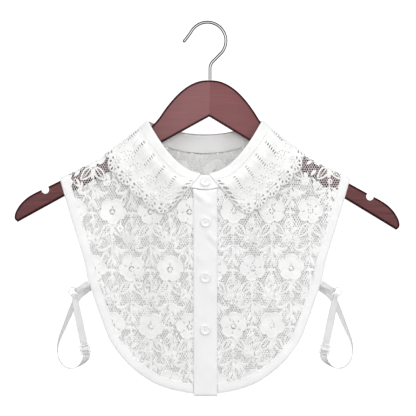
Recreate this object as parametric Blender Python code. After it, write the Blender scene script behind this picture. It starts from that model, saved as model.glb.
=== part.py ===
"""A lace dickey collar hanging on a wooden hanger.

The front of the garment faces -Y, +X is to the viewer's right and +Z is up. The origin is the place
on the inside of the hook where a rail carries it. Sizes below are in millimetres, and each mesh turns
them into metres as it is made. A place on the garment is given by u, its distance to the right of the
garment's own middle, and by its height or its drop below the shoulder line.
"""

import math

import bmesh
import bpy
import numpy as np
from mathutils import Matrix, Vector

MM = 0.001

# The hanger
BOARD_THICK = 12.0
BOARD_EDGE = 2.2
BOARD_TOP = -64.7
BOARD_APEX = -106.6
BOARD_LOWER_SLOPE = 0.583
BOARD_TILT = math.radians(1.2)
JOINT_GAP = 0.3
NOTCH_RADIUS = 4.6
NOTCH_CENTRE = (186.5, -194.5)
BOARD_SHOULDER = [
    # distance from the middle, height
    (0, -64.7),
    (10, -65.7),
    (20, -69.3),
    (30, -75.8),
    (40, -85.4),
    (50, -97.9),
    (58, -109.8),
    (66, -118.9),
    (80, -130.8),
    (100, -144.7),
    (115, -154.0),
    (130, -162.5),
    (158.4, -177.9),
    (182.2, -190.4),
    (202.5, -201),
    (213, -209.8),
    (219.6, -220),
    (221, -228),
    (217.5, -232.2),
]

# The hook
WIRE = 3.6
BOW_CENTRE_X = -3.0
BOW_INNER = 19.5
BOW_START = -45.0
BOW_END = 147.5
NECK_BEND = 12.0
FLARE_TURN = 8.0
FLARE_LENGTH = 15.0
STEM_FOOT = 0.3

# Where the garment hangs
GARMENT_X = -5.75
SEAM_GAP = 0.3
CLOTH = 1.2
STAND_CLOTH = 1.0
FALL_CLOTH = 1.0
PLACKET_CLOTH = 1.4
BINDING_CLOTH = 2.0
BINDING_WIDTH = 10.8
NECK_GAP = 1.1
COLUMN_STEP = 12.5
PANEL_ROWS = 8

SHOULDER_LINE = [
    # half width, height of the middle of the cloth
    (0, -70),
    (40, -95.5),
    (66, -113.4),
    (80, -125.4),
    (90.5, -134.0),
    (103.5, -144.0),
    (114, -151.1),
    (130, -159.7),
    (148, -168.8),
    (170, -180.0),
]
SIDE_AND_HEM = [
    # half width, height, from the middle of the hem round to the shoulder
    (0, -423.5),
    (11.6, -423.0),
    (28.8, -420.4),
    (44, -416.8),
    (60, -410.4),
    (75.3, -400.6),
    (87.8, -390.2),
    (100, -376),
    (109.3, -362),
    (117, -343),
    (123, -326.4),
    (128.5, -310),
    (134.4, -292.3),
    (139, -269.7),
    (150, -234),
    (160.5, -198.8),
    (166.5, -177.9),
]

# The hanging form of the cloth
ROUND_OUT = 7.8
ROUND_DROP = 5.0
NECK_WIDTH = 80.0
NECK_SIDE = -125.4
SPREAD_LOW = 125.0
SPREAD_MORE = 300.0
SPREAD_FADE = 28.0
FRONT = {
    "sign": -1,
    "neck_drop": 65.6,
    "swell": 38.5,
    "reach": 52.0,
    "fade": 230.0,
    "fold_drop": 62.3,
    "fold_out": 36.0,
}
BACK = {
    "sign": 1,
    "neck_drop": 22.6,
    "swell": 19.5,
    "reach": 30.0,
    "fade": 260.0,
    "fold_drop": 15.0,
    "fold_out": 22.0,
}
FRONT_FOLDS = [
    # from u, from height, to u, to height, height of the ridge, half width
    (-91, -188, -96, -296, -2.6, 10),
    (-118, -212, -121, -304, 2.0, 12),
    (-122, -292, -92, -248, -2.2, 6),
    (-46, -222, -60, -402, 3.0, 17),
    (-70, -296, -80, -392, -2.2, 10),
    (62, -250, 71, -306, -2.6, 8),
    (74, -332, 99, -374, -2.2, 8),
    (38, -226, 50, -404, 2.6, 16),
    (106, -212, 113, -304, 2.2, 12),
]
PLACKET_CREASES = [
    # from u, from height, to u, to height, height of the ridge, half width
    (-13, -193, 7, -209, 1.3, 4),
    (-4, -206, 14, -224, 1.5, 3.5),
    (2, -238, 15, -252, 1.2, 4),
    (-12, -262, 2, -275, 0.8, 4),
    (0, -300, 14, -316, 0.7, 5),
]
BACK_FOLDS = [
    # from u, from height, to u, to height, height of the ridge, half width
    (-60, -200, -74, -392, 3.0, 15),
    (-24, -186, -31, -384, -2.5, 12),
    (20, -186, 30, -402, 2.6, 14),
    (62, -206, 76, -372, -2.6, 10),
    (108, -196, 113, -312, 2.0, 12),
    (-112, -200, -117, -300, -2.0, 10),
]

# The collar
STAND_SIDE = (66.2, -112.5)
NECK_OVAL = 2.6
LAP = 1.4
LAP_FROM = 15.0
LAP_TO = 28.0
STAND_OUTER_END = 12.1
STAND_INNER_END = -7.6
FALL_START = 4.6
FALL_LEAD = 9.0
FALL_LEAD_TO = 50.0
ON_STAND = 1.5
ON_BODY = 2.0
TIP_LIFT = 1.6
FALL_EDGE_FRONT = [
    # half width, height, from the corner of the wing to the shoulder
    (36.5, -212.5),
    (43.5, -217.3),
    (52, -218.8),
    (59.5, -215.2),
    (66, -208),
    (81, -195.5),
    (93, -184),
    (104, -174.5),
    (111.5, -162),
    (114.5, -151.4),
]
FALL_EDGE_BACK = [
    # half width, height, from the shoulder to the middle of the back
    (114.5, -151.4),
    (108, -165),
    (92, -173.5),
    (68, -180.5),
    (40, -184.5),
    (18, -186),
    (0, -186.4),
]
CORNER_LOBE = 25.0
LOBES_EACH_SIDE = 12
LOBE_DEPTH = 4.4
LOBE_STEPS = [0.0, 0.14, 0.5, 0.86]
CREST_COLUMNS = [-6.0, -2.6, -0.8, 0.0, 0.8, 2.6, 6.0]
EYELETS = [
    # half width, height, length along the edge, width, turn of the long axis from upright
    (23.6, -187.6, 5.2, 4.2, 34),
    (27.9, -194.2, 5.4, 4.4, 33),
    (31.9, -200.6, 5.4, 4.4, 30),
    (36.0, -207.0, 5.2, 4.4, 34),
    (42.0, -212.2, 4.8, 4.2, 62),
    (56.0, -203.0, 4.8, 4.2, -30),
]

# The closing
PLACKET_LEFT = -12.7
PLACKET_RIGHT = 13.8
PLACKET_FOOT = -425.5
LEFT_PANEL_END = -9.0
RIGHT_PANEL_START = 10.0
BAND_FOOT = -421.0
STRIP_TOP = -190.0
STRIP_STEP = 10.0
BUTTON_U = 0.5
BUTTON_HEIGHTS = [-183.0, -227.0, -290.0, -349.5]
BUTTON_PROFILE = [
    # radius, height above the cloth
    (3.3, 1.5),
    (4.2, 2.3),
    (5.1, 2.6),
    (5.75, 2.0),
    (5.75, 0.9),
    (4.6, 0.0),
]

# The straps
STRAP_WIDTH = 8.0
STRAP_CLOTH = 0.8
RING_CENTRE = (151.0, -9.0, -307.5)
RING_MIDDLE = 5.0
RING_WIRE = 1.6
SLIDER_CENTRE = (137.0, -11.2, -373.5)
SLIDER_OUTER = (12.0, 11.0)
SLIDER_WINDOW = (8.8, 3.4)
SLIDER_THICK = 1.4
TAB_WIDTH = 4.6
TAB_HEIGHT = -298.0
STRAP_BACK_HEIGHT = -303.0
SLIDER_BAR = 4.75
SLIDER_WEAVE = 2.0
STRAP_LOOP = [
    # half width, y, height, twist of the width towards the viewer
    (136.2, -9.0, -382.5, 20),
    (139.0, -8.0, -387.5, 55),
    (144.5, -6.5, -392.4, 80),
    (152.5, -5.0, -395.6, 90),
    (161.5, -3.4, -393.2, 90),
    (167.8, -1.8, -385.2, 88),
    (169.6, -0.4, -374.0, 80),
    (167.2, 1.0, -362.0, 68),
    (162.2, 2.4, -349.5, 56),
    (156.6, 3.8, -335.5, 46),
    (151.0, 5.2, -322.5, 36),
    (144.4, 6.8, -312.2, 22),
]


def clear_scene():
    for thing in list(bpy.data.objects):
        bpy.data.objects.remove(thing, do_unlink=True)


def finish(name, colour, roughness, metallic=0.0, transmission=0.0):
    """A Principled material for one piece."""
    material = bpy.data.materials.new(name)
    material.use_nodes = True
    shader = material.node_tree.nodes["Principled BSDF"]
    shader.inputs["Base Color"].default_value = (*colour, 1.0)
    shader.inputs["Roughness"].default_value = roughness
    shader.inputs["Metallic"].default_value = metallic
    shader.inputs["Transmission Weight"].default_value = transmission
    material.diffuse_color = (*colour, 1.0)
    return material


def smooth_step(start, end, value):
    t = np.clip((np.asarray(value, float) - start) / (end - start), 0.0, 1.0)
    return t * t * (3.0 - 2.0 * t)


def smooth_curve(points, each=24):
    """A smooth line through the points, with each span cut into short steps."""
    points = np.asarray(points, float)
    first = 2 * points[0] - points[1]
    last = 2 * points[-1] - points[-2]
    padded = np.vstack([first, points, last])
    steps = np.linspace(0, 1, each, endpoint=False)[:, None]
    spans = []
    for before, start, end, after in zip(padded, padded[1:], padded[2:], padded[3:]):
        linear = (end - before) * steps
        square = (2 * before - 5 * start + 4 * end - after) * steps**2
        cube = (3 * start - before - 3 * end + after) * steps**3
        spans.append(start + 0.5 * (linear + square + cube))
    spans.append(points[-1:])
    return np.vstack(spans)


def lengths_along(points):
    steps = np.linalg.norm(np.diff(points, axis=0), axis=1)
    return np.concatenate([[0.0], np.cumsum(steps)])


def point_at(points, lengths, wanted):
    """Points of a line at these lengths along it."""
    return np.stack([np.interp(wanted, lengths, points[:, k]) for k in range(points.shape[1])], -1)


SHOULDER_CURVE = smooth_curve(SHOULDER_LINE)
OUTLINE = smooth_curve(SIDE_AND_HEM)
OUTLINE_LENGTHS = lengths_along(OUTLINE)
OUTLINE_LENGTH = OUTLINE_LENGTHS[-1]


def shoulder(u):
    """Height of the shoulder line at this distance from the middle."""
    return np.interp(np.abs(u), SHOULDER_CURVE[:, 0], SHOULDER_CURVE[:, 1])


def neck_height(u, side):
    """Height of the neck seam, carried on as a parabola past the shoulders."""
    return NECK_SIDE - side["neck_drop"] * (1 - (np.asarray(u) / NECK_WIDTH) ** 2)


def fold_waves(u, height, rows):
    """The large soft folds: ridges and troughs that fade out at both ends."""
    total = np.zeros(np.broadcast(u, height).shape)
    for start_u, start_height, end_u, end_height, ridge, half_width in rows:
        along_u = end_u - start_u
        along_height = end_height - start_height
        length = math.hypot(along_u, along_height)
        from_u = u - start_u
        from_height = height - start_height
        along = (from_u * along_u + from_height * along_height) / length**2
        across = (from_u * along_height - from_height * along_u) / length
        fade = smooth_step(-0.12, 0.25, along) * smooth_step(1.12, 0.75, along)
        total += ridge * fade * np.exp(-((across / half_width) ** 2))
    return total


def depth(u, drop, side):
    """How far the middle of the cloth lies in front of, or behind, the middle of the hanger."""
    height = shoulder(u) - drop
    turned = np.clip(drop / ROUND_DROP, 0.0, 1.0)
    over_board = ROUND_OUT * np.sqrt(1 - (1 - turned) ** 2)
    below_neck = np.maximum(neck_height(u, side) - height, 0.0)
    spread = SPREAD_LOW + SPREAD_MORE * np.exp((height - NECK_SIDE) / SPREAD_FADE)
    across = np.cos(np.clip(np.abs(u) / spread, 0, 1) * math.pi / 2) ** 2
    swell = side["swell"] * (1 - np.exp(-drop / side["reach"]))
    swell = swell * np.exp(-below_neck / side["fade"]) * across
    rows = FRONT_FOLDS if side is FRONT else BACK_FOLDS
    return SEAM_GAP / 2 + over_board + swell + fold_waves(u, height, rows)


def body_point(u, drop, side):
    """A point in the middle of the body's cloth."""
    u, drop = np.broadcast_arrays(np.asarray(u, float), np.asarray(drop, float))
    y = side["sign"] * depth(u, drop, side)
    return np.stack([u + GARMENT_X, y, shoulder(u) - drop], -1)


def body_normal(u, drop, side):
    """The outward direction of the body's cloth."""
    small = 0.05
    tiny = 0.001
    across = body_point(u + small, drop, side) - body_point(u - small, drop, side)
    down = body_point(u, drop + tiny, side) - body_point(u, drop, side)
    normal = np.cross(across, down) * side["sign"]
    return normal / np.linalg.norm(normal, axis=-1, keepdims=True)


def on_body(u, height, side, out):
    """Points this far outside the middle of the body's cloth."""
    drop = np.maximum(shoulder(u) - height, 0.0)
    return body_point(u, drop, side) + body_normal(u, drop, side) * out


def new_object(name, vertices, faces, material, smooth=True):
    mesh = bpy.data.meshes.new(name)
    mesh.from_pydata([tuple(float(value) * MM for value in vertex) for vertex in vertices], [], faces)
    shape = bmesh.new()
    shape.from_mesh(mesh)
    bmesh.ops.remove_doubles(shape, verts=shape.verts, dist=1e-7)
    bmesh.ops.recalc_face_normals(shape, faces=shape.faces)
    shape.to_mesh(mesh)
    shape.free()
    mesh.materials.append(material)
    if smooth:
        mesh.shade_smooth()
        mesh.set_sharp_from_angle(angle=math.radians(45))
    thing = bpy.data.objects.new(name, mesh)
    bpy.context.scene.collection.objects.link(thing)
    return thing


def wall(name, outer, inner, material):
    """A closed wall between two matching grids of points."""
    rows, columns = outer.shape[:2]
    vertices = np.concatenate([outer.reshape(-1, 3), inner.reshape(-1, 3)])
    behind = rows * columns

    def at(i, j):
        return i * columns + j

    faces = []
    for i in range(rows - 1):
        for j in range(columns - 1):
            quad = [at(i, j), at(i + 1, j), at(i + 1, j + 1), at(i, j + 1)]
            faces.append(quad)
            faces.append([behind + k for k in reversed(quad)])
    rim = [at(i, 0) for i in range(rows)]
    rim += [at(rows - 1, j) for j in range(1, columns)]
    rim += [at(i, columns - 1) for i in range(rows - 2, -1, -1)]
    rim += [at(0, j) for j in range(columns - 2, 0, -1)]
    for here, there in zip(rim, rim[1:] + rim[:1]):
        faces.append([here, behind + here, behind + there, there])
    return new_object(name, vertices, faces, material)


def thick_wall(name, middle, normals, thickness, material):
    half = normals * thickness / 2
    return wall(name, middle + half, middle - half, material)


def grid_normals(points, outward):
    """Directions square to a grid of points, on the side that outward points to."""
    down = np.gradient(points, axis=1)
    across = np.gradient(points, axis=0)
    normal = np.cross(across, down)
    normal /= np.linalg.norm(normal, axis=-1, keepdims=True)
    turn = np.sign(np.sum(normal * outward, axis=-1, keepdims=True))
    return normal * turn


def edge_point(length, inset):
    """A point this far inside the outline of the side and hem, at this length along it."""
    here = point_at(OUTLINE, OUTLINE_LENGTHS, length)
    ahead = point_at(OUTLINE, OUTLINE_LENGTHS, np.minimum(length + 1.0, OUTLINE_LENGTH))
    behind = point_at(OUTLINE, OUTLINE_LENGTHS, np.maximum(length - 1.0, 0.0))
    along = ahead - behind
    along /= np.linalg.norm(along, axis=-1, keepdims=True)
    inward = np.stack([-along[..., 1], along[..., 0]], -1)
    tip = OUTLINE[-1]
    step = tip[0] - 10.0
    down_shoulder = np.array([step - tip[0], shoulder(step) - shoulder(tip[0])])
    down_shoulder /= np.linalg.norm(down_shoulder)
    near_tip = smooth_step(OUTLINE_LENGTH - 30, OUTLINE_LENGTH, length)[..., None]
    inward = inward * (1 - near_tip) + down_shoulder * near_tip
    inward /= np.linalg.norm(inward, axis=-1, keepdims=True)
    point = here + inward * inset
    at_tip = np.asarray(length) > OUTLINE_LENGTH - 1e-6
    height = np.where(at_tip, shoulder(point[..., 0]), np.minimum(point[..., 1], shoulder(point[..., 0])))
    return np.stack([point[..., 0], height], -1)


PANEL_INSET = BINDING_WIDTH + SEAM_GAP
NECK_CORNER = NECK_WIDTH + NECK_GAP


def length_at(u, inset):
    """The length along the outline where its inset line is this far from the middle."""
    lengths = np.linspace(0, OUTLINE_LENGTH, 1500)
    return np.interp(u, edge_point(lengths, inset)[:, 0], lengths)


def edge_lengths(start):
    """Lengths along the outline where columns of points meet it, from this start round to the shoulder.

    They are closer together where the cloth turns over the hanger and at the corner of the neck.
    """
    near_tip = OUTLINE_LENGTH - np.array([16.0, 9.0, 5.0, 2.2, 0.7, 0.0])
    lengths = np.append(np.arange(0, near_tip[0] - 5, COLUMN_STEP), near_tip)
    for u in (NECK_CORNER - 3.5, NECK_CORNER - 1.2, NECK_CORNER):
        corner = length_at(u, PANEL_INSET)
        lengths = lengths[np.abs(lengths - corner) > 1.0]
        lengths = np.sort(np.append(lengths, corner))
    return np.insert(lengths[lengths > start + 2.0], 0, start)


def panel_grid(u, foot, side):
    """A panel's columns of points from the neck seam or the shoulder line down to its foot."""
    seam = neck_height(u, side) - NECK_GAP
    top = np.where(np.abs(u) < NECK_CORNER, np.minimum(seam, shoulder(u)), shoulder(u))
    foot = np.minimum(foot, top)
    tall = top - foot
    first = np.array([0.0, 0.6, 2.6, 7.5])
    near_top = first[None, :] * np.minimum(tall[:, None] / 60, 1.0)
    spread = np.linspace(0, 1, PANEL_ROWS)[None, 1:]
    rest = near_top[:, -1:] + (tall[:, None] - near_top[:, -1:]) * spread
    height = top[:, None] - np.concatenate([near_top, rest], axis=1)
    drop = np.maximum(shoulder(u)[:, None] - height, 0.0)
    across = np.broadcast_to(u[:, None], drop.shape)
    return body_point(across, drop, side), body_normal(across, drop, side)


def body_panel(name, lengths, hand, side, material):
    """One panel of lace: hand is -1 for the left, 1 for the right and 0 for both."""
    edge = edge_point(lengths, PANEL_INSET)
    u, foot = edge[:, 0], edge[:, 1]
    if hand == 0:
        u = np.concatenate([-u[::-1], u[1:]])
        foot = np.concatenate([foot[::-1], foot[1:]])
    else:
        u = u * hand
    points, normals = panel_grid(u, foot, side)
    return thick_wall(name, points, normals, CLOTH, material)


def binding(name, lengths, hand, side, material):
    """The strip along the side and hem, outside the lace."""
    insets = [0.0, BINDING_WIDTH]
    edges = [edge_point(lengths, inset) for inset in insets]
    u = np.stack([np.maximum(edge[:, 0], edges[0][0, 0]) for edge in edges], 1)
    height = np.stack([edge[:, 1] for edge in edges], 1)
    if hand == 0:
        u = np.concatenate([-u[::-1], u[1:]])
        height = np.concatenate([height[::-1], height[1:]])
    else:
        u = u * hand
    drop = np.maximum(shoulder(u) - height, 0.0)
    normals = body_normal(u, drop, side)
    points = body_point(u, drop, side) + normals * (BINDING_CLOTH - CLOTH) / 2
    return thick_wall(name, points, normals, BINDING_CLOTH, material)


def strip_on_body(name, columns, foot, out, creases, thickness, material):
    """A straight strip down the front, this far outside the middle of the body's cloth."""
    u = np.array(columns, float)
    top = neck_height(u, FRONT) - SEAM_GAP * 1.5
    steps = np.arange(STRIP_TOP, foot, -STRIP_STEP)
    steps = np.append(steps[steps > foot + 3], foot)
    height = np.minimum(steps[None, :], top[:, None])
    height[:, 0] = top
    across = np.broadcast_to(u[:, None], height.shape)
    raised = out + fold_waves(across, height, creases)
    normals = body_normal(across, shoulder(across) - height, FRONT)
    points = on_body(across, height, FRONT, 0.0) + normals * raised[..., None]
    return thick_wall(name, points, normals, thickness, material)


def stand_ends(angle, side):
    """The top and the foot of the collar stand at this angle, which is 0 in front and grows to the right."""
    side_u, side_height = STAND_SIDE
    across, forward = np.sin(angle), np.abs(np.cos(angle))
    oval = (np.abs(across) ** NECK_OVAL + forward**NECK_OVAL) ** (-1 / NECK_OVAL)
    across, forward = across * oval, forward * oval
    top = np.stack(
        [
            side_u * across + GARMENT_X,
            side["sign"] * side["fold_out"] * forward,
            side_height - side["fold_drop"] * (1 - across**2),
        ],
        -1,
    )
    foot_u = NECK_WIDTH * across
    foot_height = neck_height(foot_u, side)
    foot = on_body(foot_u, foot_height, side, 0.0)
    foot[..., 1] *= smooth_step(0.0, 0.02, forward)
    return top, foot


def stand_point(angle, fraction):
    """A point in the middle of the stand: fraction is 0 at its top and 1 at the neck seam."""
    angle, fraction = np.broadcast_arrays(np.asarray(angle, float), np.asarray(fraction, float))
    front_top, front_foot = stand_ends(angle, FRONT)
    back_top, back_foot = stand_ends(angle, BACK)
    in_front = (np.cos(angle) >= 0)[..., None]
    top = np.where(in_front, front_top, back_top)
    foot = np.where(in_front, front_foot, back_foot)
    return top + (foot - top) * fraction[..., None]


def stand_normal(angle, fraction):
    """The outward direction of the stand."""
    small = 0.02
    across = stand_point(angle + small, fraction) - stand_point(angle - small, fraction)
    down = stand_point(angle, 1.0) - stand_point(angle, 0.0)
    normal = np.cross(down, across)
    return normal / np.linalg.norm(normal, axis=-1, keepdims=True)


def lap_out(u):
    """How far what lies over the closing is raised, near the middle of the front."""
    return LAP * (1 - smooth_step(LAP_FROM, LAP_TO, np.abs(u)))


def collar_stand(material):
    """The strip round the neck, from its outer end on the right, round by the left, to its inner end."""
    outer_end = STAND_OUTER_END
    inner_end = -360 + STAND_INNER_END
    turned = np.radians(np.linspace(outer_end, inner_end, 67))
    fractions = np.array([0.0, 0.5, 1.0])
    angle = np.broadcast_to(turned[:, None], (len(turned), len(fractions)))
    fraction = np.broadcast_to(fractions[None, :], angle.shape)
    points = stand_point(angle, fraction)
    normals = stand_normal(angle, fraction)
    u = points[..., 0] - GARMENT_X
    outer_layer = np.degrees(angle) > -90
    raised = np.where(outer_layer, lap_out(u), 0.0)
    points = points + normals * raised[..., None]
    return thick_wall("collar_stand", points, normals, STAND_CLOTH, material)


def fall_line(side, edge_rows):
    """The outer edge of the fall on one side of the shoulder, as a dense line of u and drop."""
    curve = smooth_curve(edge_rows)
    drop = np.maximum(shoulder(curve[:, 0]) - curve[:, 1], 0.0)
    points = body_point(curve[:, 0], drop, side)
    return curve, drop, lengths_along(points)


def fold_angles(start, end, share):
    """Angles of the fold at these shares of its length."""
    angles = np.radians(np.linspace(start, end, 400))
    lengths = lengths_along(stand_point(angles, 0.0))
    return np.interp(share, lengths / lengths[-1], angles)


def lobe_places(front_length, back_length):
    """Lengths along the outer edge, and how deep the notch between two lobes is at each."""
    total = front_length + back_length
    pitch = (total - CORNER_LOBE) / (LOBES_EACH_SIDE - 1)
    lengths, notches = [], []
    for lobe in range(LOBES_EACH_SIDE):
        start = 0.0 if lobe == 0 else CORNER_LOBE + (lobe - 1) * pitch
        width = CORNER_LOBE if lobe == 0 else pitch
        for step in LOBE_STEPS:
            lengths.append(start + step * width)
            place = 0.5 + step / 2 if lobe == 0 else step
            notches.append(1 - math.sqrt(1 - (2 * place - 1) ** 2))
    lengths.append(total)
    notches.append(1.0)
    return np.array(lengths), np.array(notches)


def fall_half():
    """The right half of the fall: a grid of points from the fold outwards, and its outward directions."""
    front_curve, front_drop, front_lengths = fall_line(FRONT, FALL_EDGE_FRONT)
    back_curve, back_drop, back_lengths = fall_line(BACK, FALL_EDGE_BACK)
    front_length, back_length = front_lengths[-1], back_lengths[-1]
    lengths, notches = lobe_places(front_length, back_length)
    for extra in CREST_COLUMNS:
        wanted = front_length + extra
        notch = np.interp(wanted, lengths, notches)
        keep = np.abs(lengths - wanted) > 1.2
        lengths, notches = lengths[keep], notches[keep]
        place = np.searchsorted(lengths, wanted)
        lengths = np.insert(lengths, place, wanted)
        notches = np.insert(notches, place, notch)
    columns, outs = [], []
    for length, notch in zip(lengths, notches):
        side = FRONT if length <= front_length else BACK
        if side is FRONT:
            edge_u = np.interp(length, front_lengths, front_curve[:, 0])
            edge_drop = np.interp(length, front_lengths, front_drop)
            angle = fold_angles(FALL_START, 90, length / front_length)
        else:
            edge_u = np.interp(length - front_length, back_lengths, back_curve[:, 0])
            edge_drop = np.interp(length - front_length, back_lengths, back_drop)
            angle = fold_angles(90, 180, (length - front_length) / back_length)
        points, out = fall_column(angle, edge_u, edge_drop, notch, side)
        columns.append(points)
        outs.append(out)
    return np.array(columns), np.array(outs)


def fall_column(angle, edge_u, edge_drop, notch, side):
    """One column of the fall, over the top of the stand, down its outside and out over the body."""
    lead = math.radians(FALL_LEAD) * max(0.0, 1 - math.degrees(angle) / FALL_LEAD_TO) ** 2
    if side is BACK:
        lead = 0.0
    top = stand_point(angle, 0.0)
    foot = stand_point(angle + lead, 1.0)
    up = top - stand_point(angle, 1.0)
    up /= np.linalg.norm(up)
    out = stand_normal(angle, 0.0)
    raised = lap_out(top[0] - GARMENT_X)
    points = [
        top + out * (raised - 0.2) + up * 1.05,
        top + out * (raised + 0.6) + up * 1.1,
        top + out * (raised + 1.35) + up * 0.5,
    ]
    outs = [up * 1.0 - out * 0.4, up + out * 0.3, out + up * 0.6]
    stand_share = np.array([0.1, 0.55])
    stand_angle = angle + lead * stand_share
    stand = stand_point(stand_angle, stand_share)
    square = stand_normal(stand_angle, stand_share)
    points += list(stand + square * (raised + ON_STAND))
    outs += list(square)
    foot_u = foot[0] - GARMENT_X
    foot_drop = max(0.0, float(shoulder(foot_u)) - foot[2])
    seam_out = stand_normal(angle + lead, 1.0) + body_normal(foot_u, foot_drop, side)
    seam_out /= np.linalg.norm(seam_out)
    points.append(foot + seam_out * (ON_STAND + raised + 0.5))
    outs.append(seam_out)
    reach = math.hypot(edge_u - foot_u, edge_drop - foot_drop)
    shares = np.array([0.35, 0.75, 1.0]) * (1 - notch * LOBE_DEPTH / reach)
    u = foot_u + (edge_u - foot_u) * shares
    drop = foot_drop + (edge_drop - foot_drop) * shares
    lift = TIP_LIFT * smooth_step(6.0, 30.0, edge_drop) * smooth_step(0.3, 1.0, shares)
    square = body_normal(u, drop, side)
    over = raised * (1 - smooth_step(0, 0.5, shares))
    points += list(body_point(u, drop, side) + square * (ON_BODY + lift + over)[:, None])
    outs += list(square)
    return np.array(points), np.array(outs)


def eyelet_cutter(hand):
    """Slanted oval pegs through the front edge and corner of one wing."""
    shape = bmesh.new()
    for u, height, long, wide, turn in EYELETS:
        centre = on_body(np.array(u * hand), np.array(height), FRONT, 4.0)
        peg = bmesh.ops.create_cone(
            shape, cap_ends=True, segments=10, radius1=0.5, radius2=0.5, depth=26
        )["verts"]
        bmesh.ops.scale(shape, verts=peg, vec=(wide, long, 1))
        tilt = Matrix.Rotation(math.radians(-turn * hand), 3, "Z")
        bmesh.ops.rotate(shape, verts=peg, cent=(0, 0, 0), matrix=tilt)
        for vertex in peg:
            across, up, away = vertex.co
            vertex.co = Vector((across + centre[0], centre[1] - away, up + centre[2])) * MM
    bmesh.ops.recalc_face_normals(shape, faces=shape.faces)
    mesh = bpy.data.meshes.new("eyelet_cutter")
    shape.to_mesh(mesh)
    shape.free()
    cutter = bpy.data.objects.new("eyelet_cutter", mesh)
    bpy.context.scene.collection.objects.link(cutter)
    cutter.hide_render = True
    cutter.display_type = "WIRE"
    return cutter


def collar_fall(material):
    points, outs = fall_half()
    flip = np.array([-1, 1, 1])
    mirrored = (points - [GARMENT_X, 0, 0]) * flip + [GARMENT_X, 0, 0]
    outs_mirrored = outs * flip
    whole = np.concatenate([points, mirrored[::-1][1:]])
    outs = np.concatenate([outs, outs_mirrored[::-1][1:]])
    normals = grid_normals(whole, outs)
    fall = thick_wall("collar_fall", whole, normals, FALL_CLOTH, material)
    for hand in (-1, 1):
        cut = fall.modifiers.new("eyelets", "BOOLEAN")
        cut.operation = "DIFFERENCE"
        cut.solver = "EXACT"
        cut.object = eyelet_cutter(hand)
    return fall


def button(number, height, material):
    """A shirt button lying on the closing."""
    if height > neck_height(0.0, FRONT):
        angle = math.asin(BUTTON_U / STAND_SIDE[0])
        head = stand_point(angle, 0.0)[2]
        foot = stand_point(angle, 1.0)[2]
        fraction = (head - height) / (head - foot)
        normal = stand_normal(angle, fraction)
        seat = stand_point(angle, fraction) + normal * (LAP + STAND_CLOTH / 2 + SEAM_GAP)
    else:
        drop = float(shoulder(BUTTON_U)) - height
        normal = body_normal(BUTTON_U, drop, FRONT)
        outer = CLOTH / 2 + SEAM_GAP + PLACKET_CLOTH + SEAM_GAP
        seat = body_point(BUTTON_U, drop, FRONT) + normal * outer
    turn = Vector((0, 0, 1)).rotation_difference(Vector(normal)).to_matrix()
    steps = 14
    vertices = []
    for radius, rise in BUTTON_PROFILE:
        for step in range(steps):
            angle = 2 * math.pi * step / steps
            vertices.append(Vector((radius * math.cos(angle), radius * math.sin(angle), rise)))
    rings = len(BUTTON_PROFILE)
    faces = [list(range(steps)), list(range((rings - 1) * steps, rings * steps))[::-1]]
    for ring in range(rings - 1):
        for step in range(steps):
            after = (step + 1) % steps
            low, high = ring * steps, (ring + 1) * steps
            faces.append([low + step, high + step, high + after, low + after])
    placed = [turn @ vertex + Vector(seat) for vertex in vertices]
    return new_object(f"button_{number}", placed, faces, material)


def board_outline():
    """The right half of the board's outline before it is tilted, from the middle of its top edge."""
    top = smooth_curve(BOARD_SHOULDER, each=2)
    top[0, 0] = JOINT_GAP / 2
    apex = [[JOINT_GAP / 2, BOARD_APEX - BOARD_LOWER_SLOPE * JOINT_GAP / 2]]
    return np.vstack([top, apex])


def tilted(x, z):
    """A place on the board once the hanger hangs a little lower on the right."""
    rise = z - BOARD_TOP
    new_x = x * math.cos(BOARD_TILT) + rise * math.sin(BOARD_TILT)
    return new_x, BOARD_TOP - x * math.sin(BOARD_TILT) + rise * math.cos(BOARD_TILT)


def notch_cutter(hand):
    """A round peg through the board where a shoulder strap would lie."""
    x, z = tilted(NOTCH_CENTRE[0] * hand, NOTCH_CENTRE[1])
    mesh = bpy.data.meshes.new("notch_cutter")
    shape = bmesh.new()
    bmesh.ops.create_cone(
        shape,
        cap_ends=True,
        segments=16,
        radius1=NOTCH_RADIUS * MM,
        radius2=NOTCH_RADIUS * MM,
        depth=BOARD_THICK * 2 * MM,
        matrix=Matrix.Translation((x * MM, 0, z * MM)) @ Matrix.Rotation(math.pi / 2, 4, "X"),
    )
    shape.to_mesh(mesh)
    shape.free()
    cutter = bpy.data.objects.new("notch_cutter", mesh)
    bpy.context.scene.collection.objects.link(cutter)
    cutter.hide_render = True
    cutter.display_type = "WIRE"
    return cutter


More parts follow.
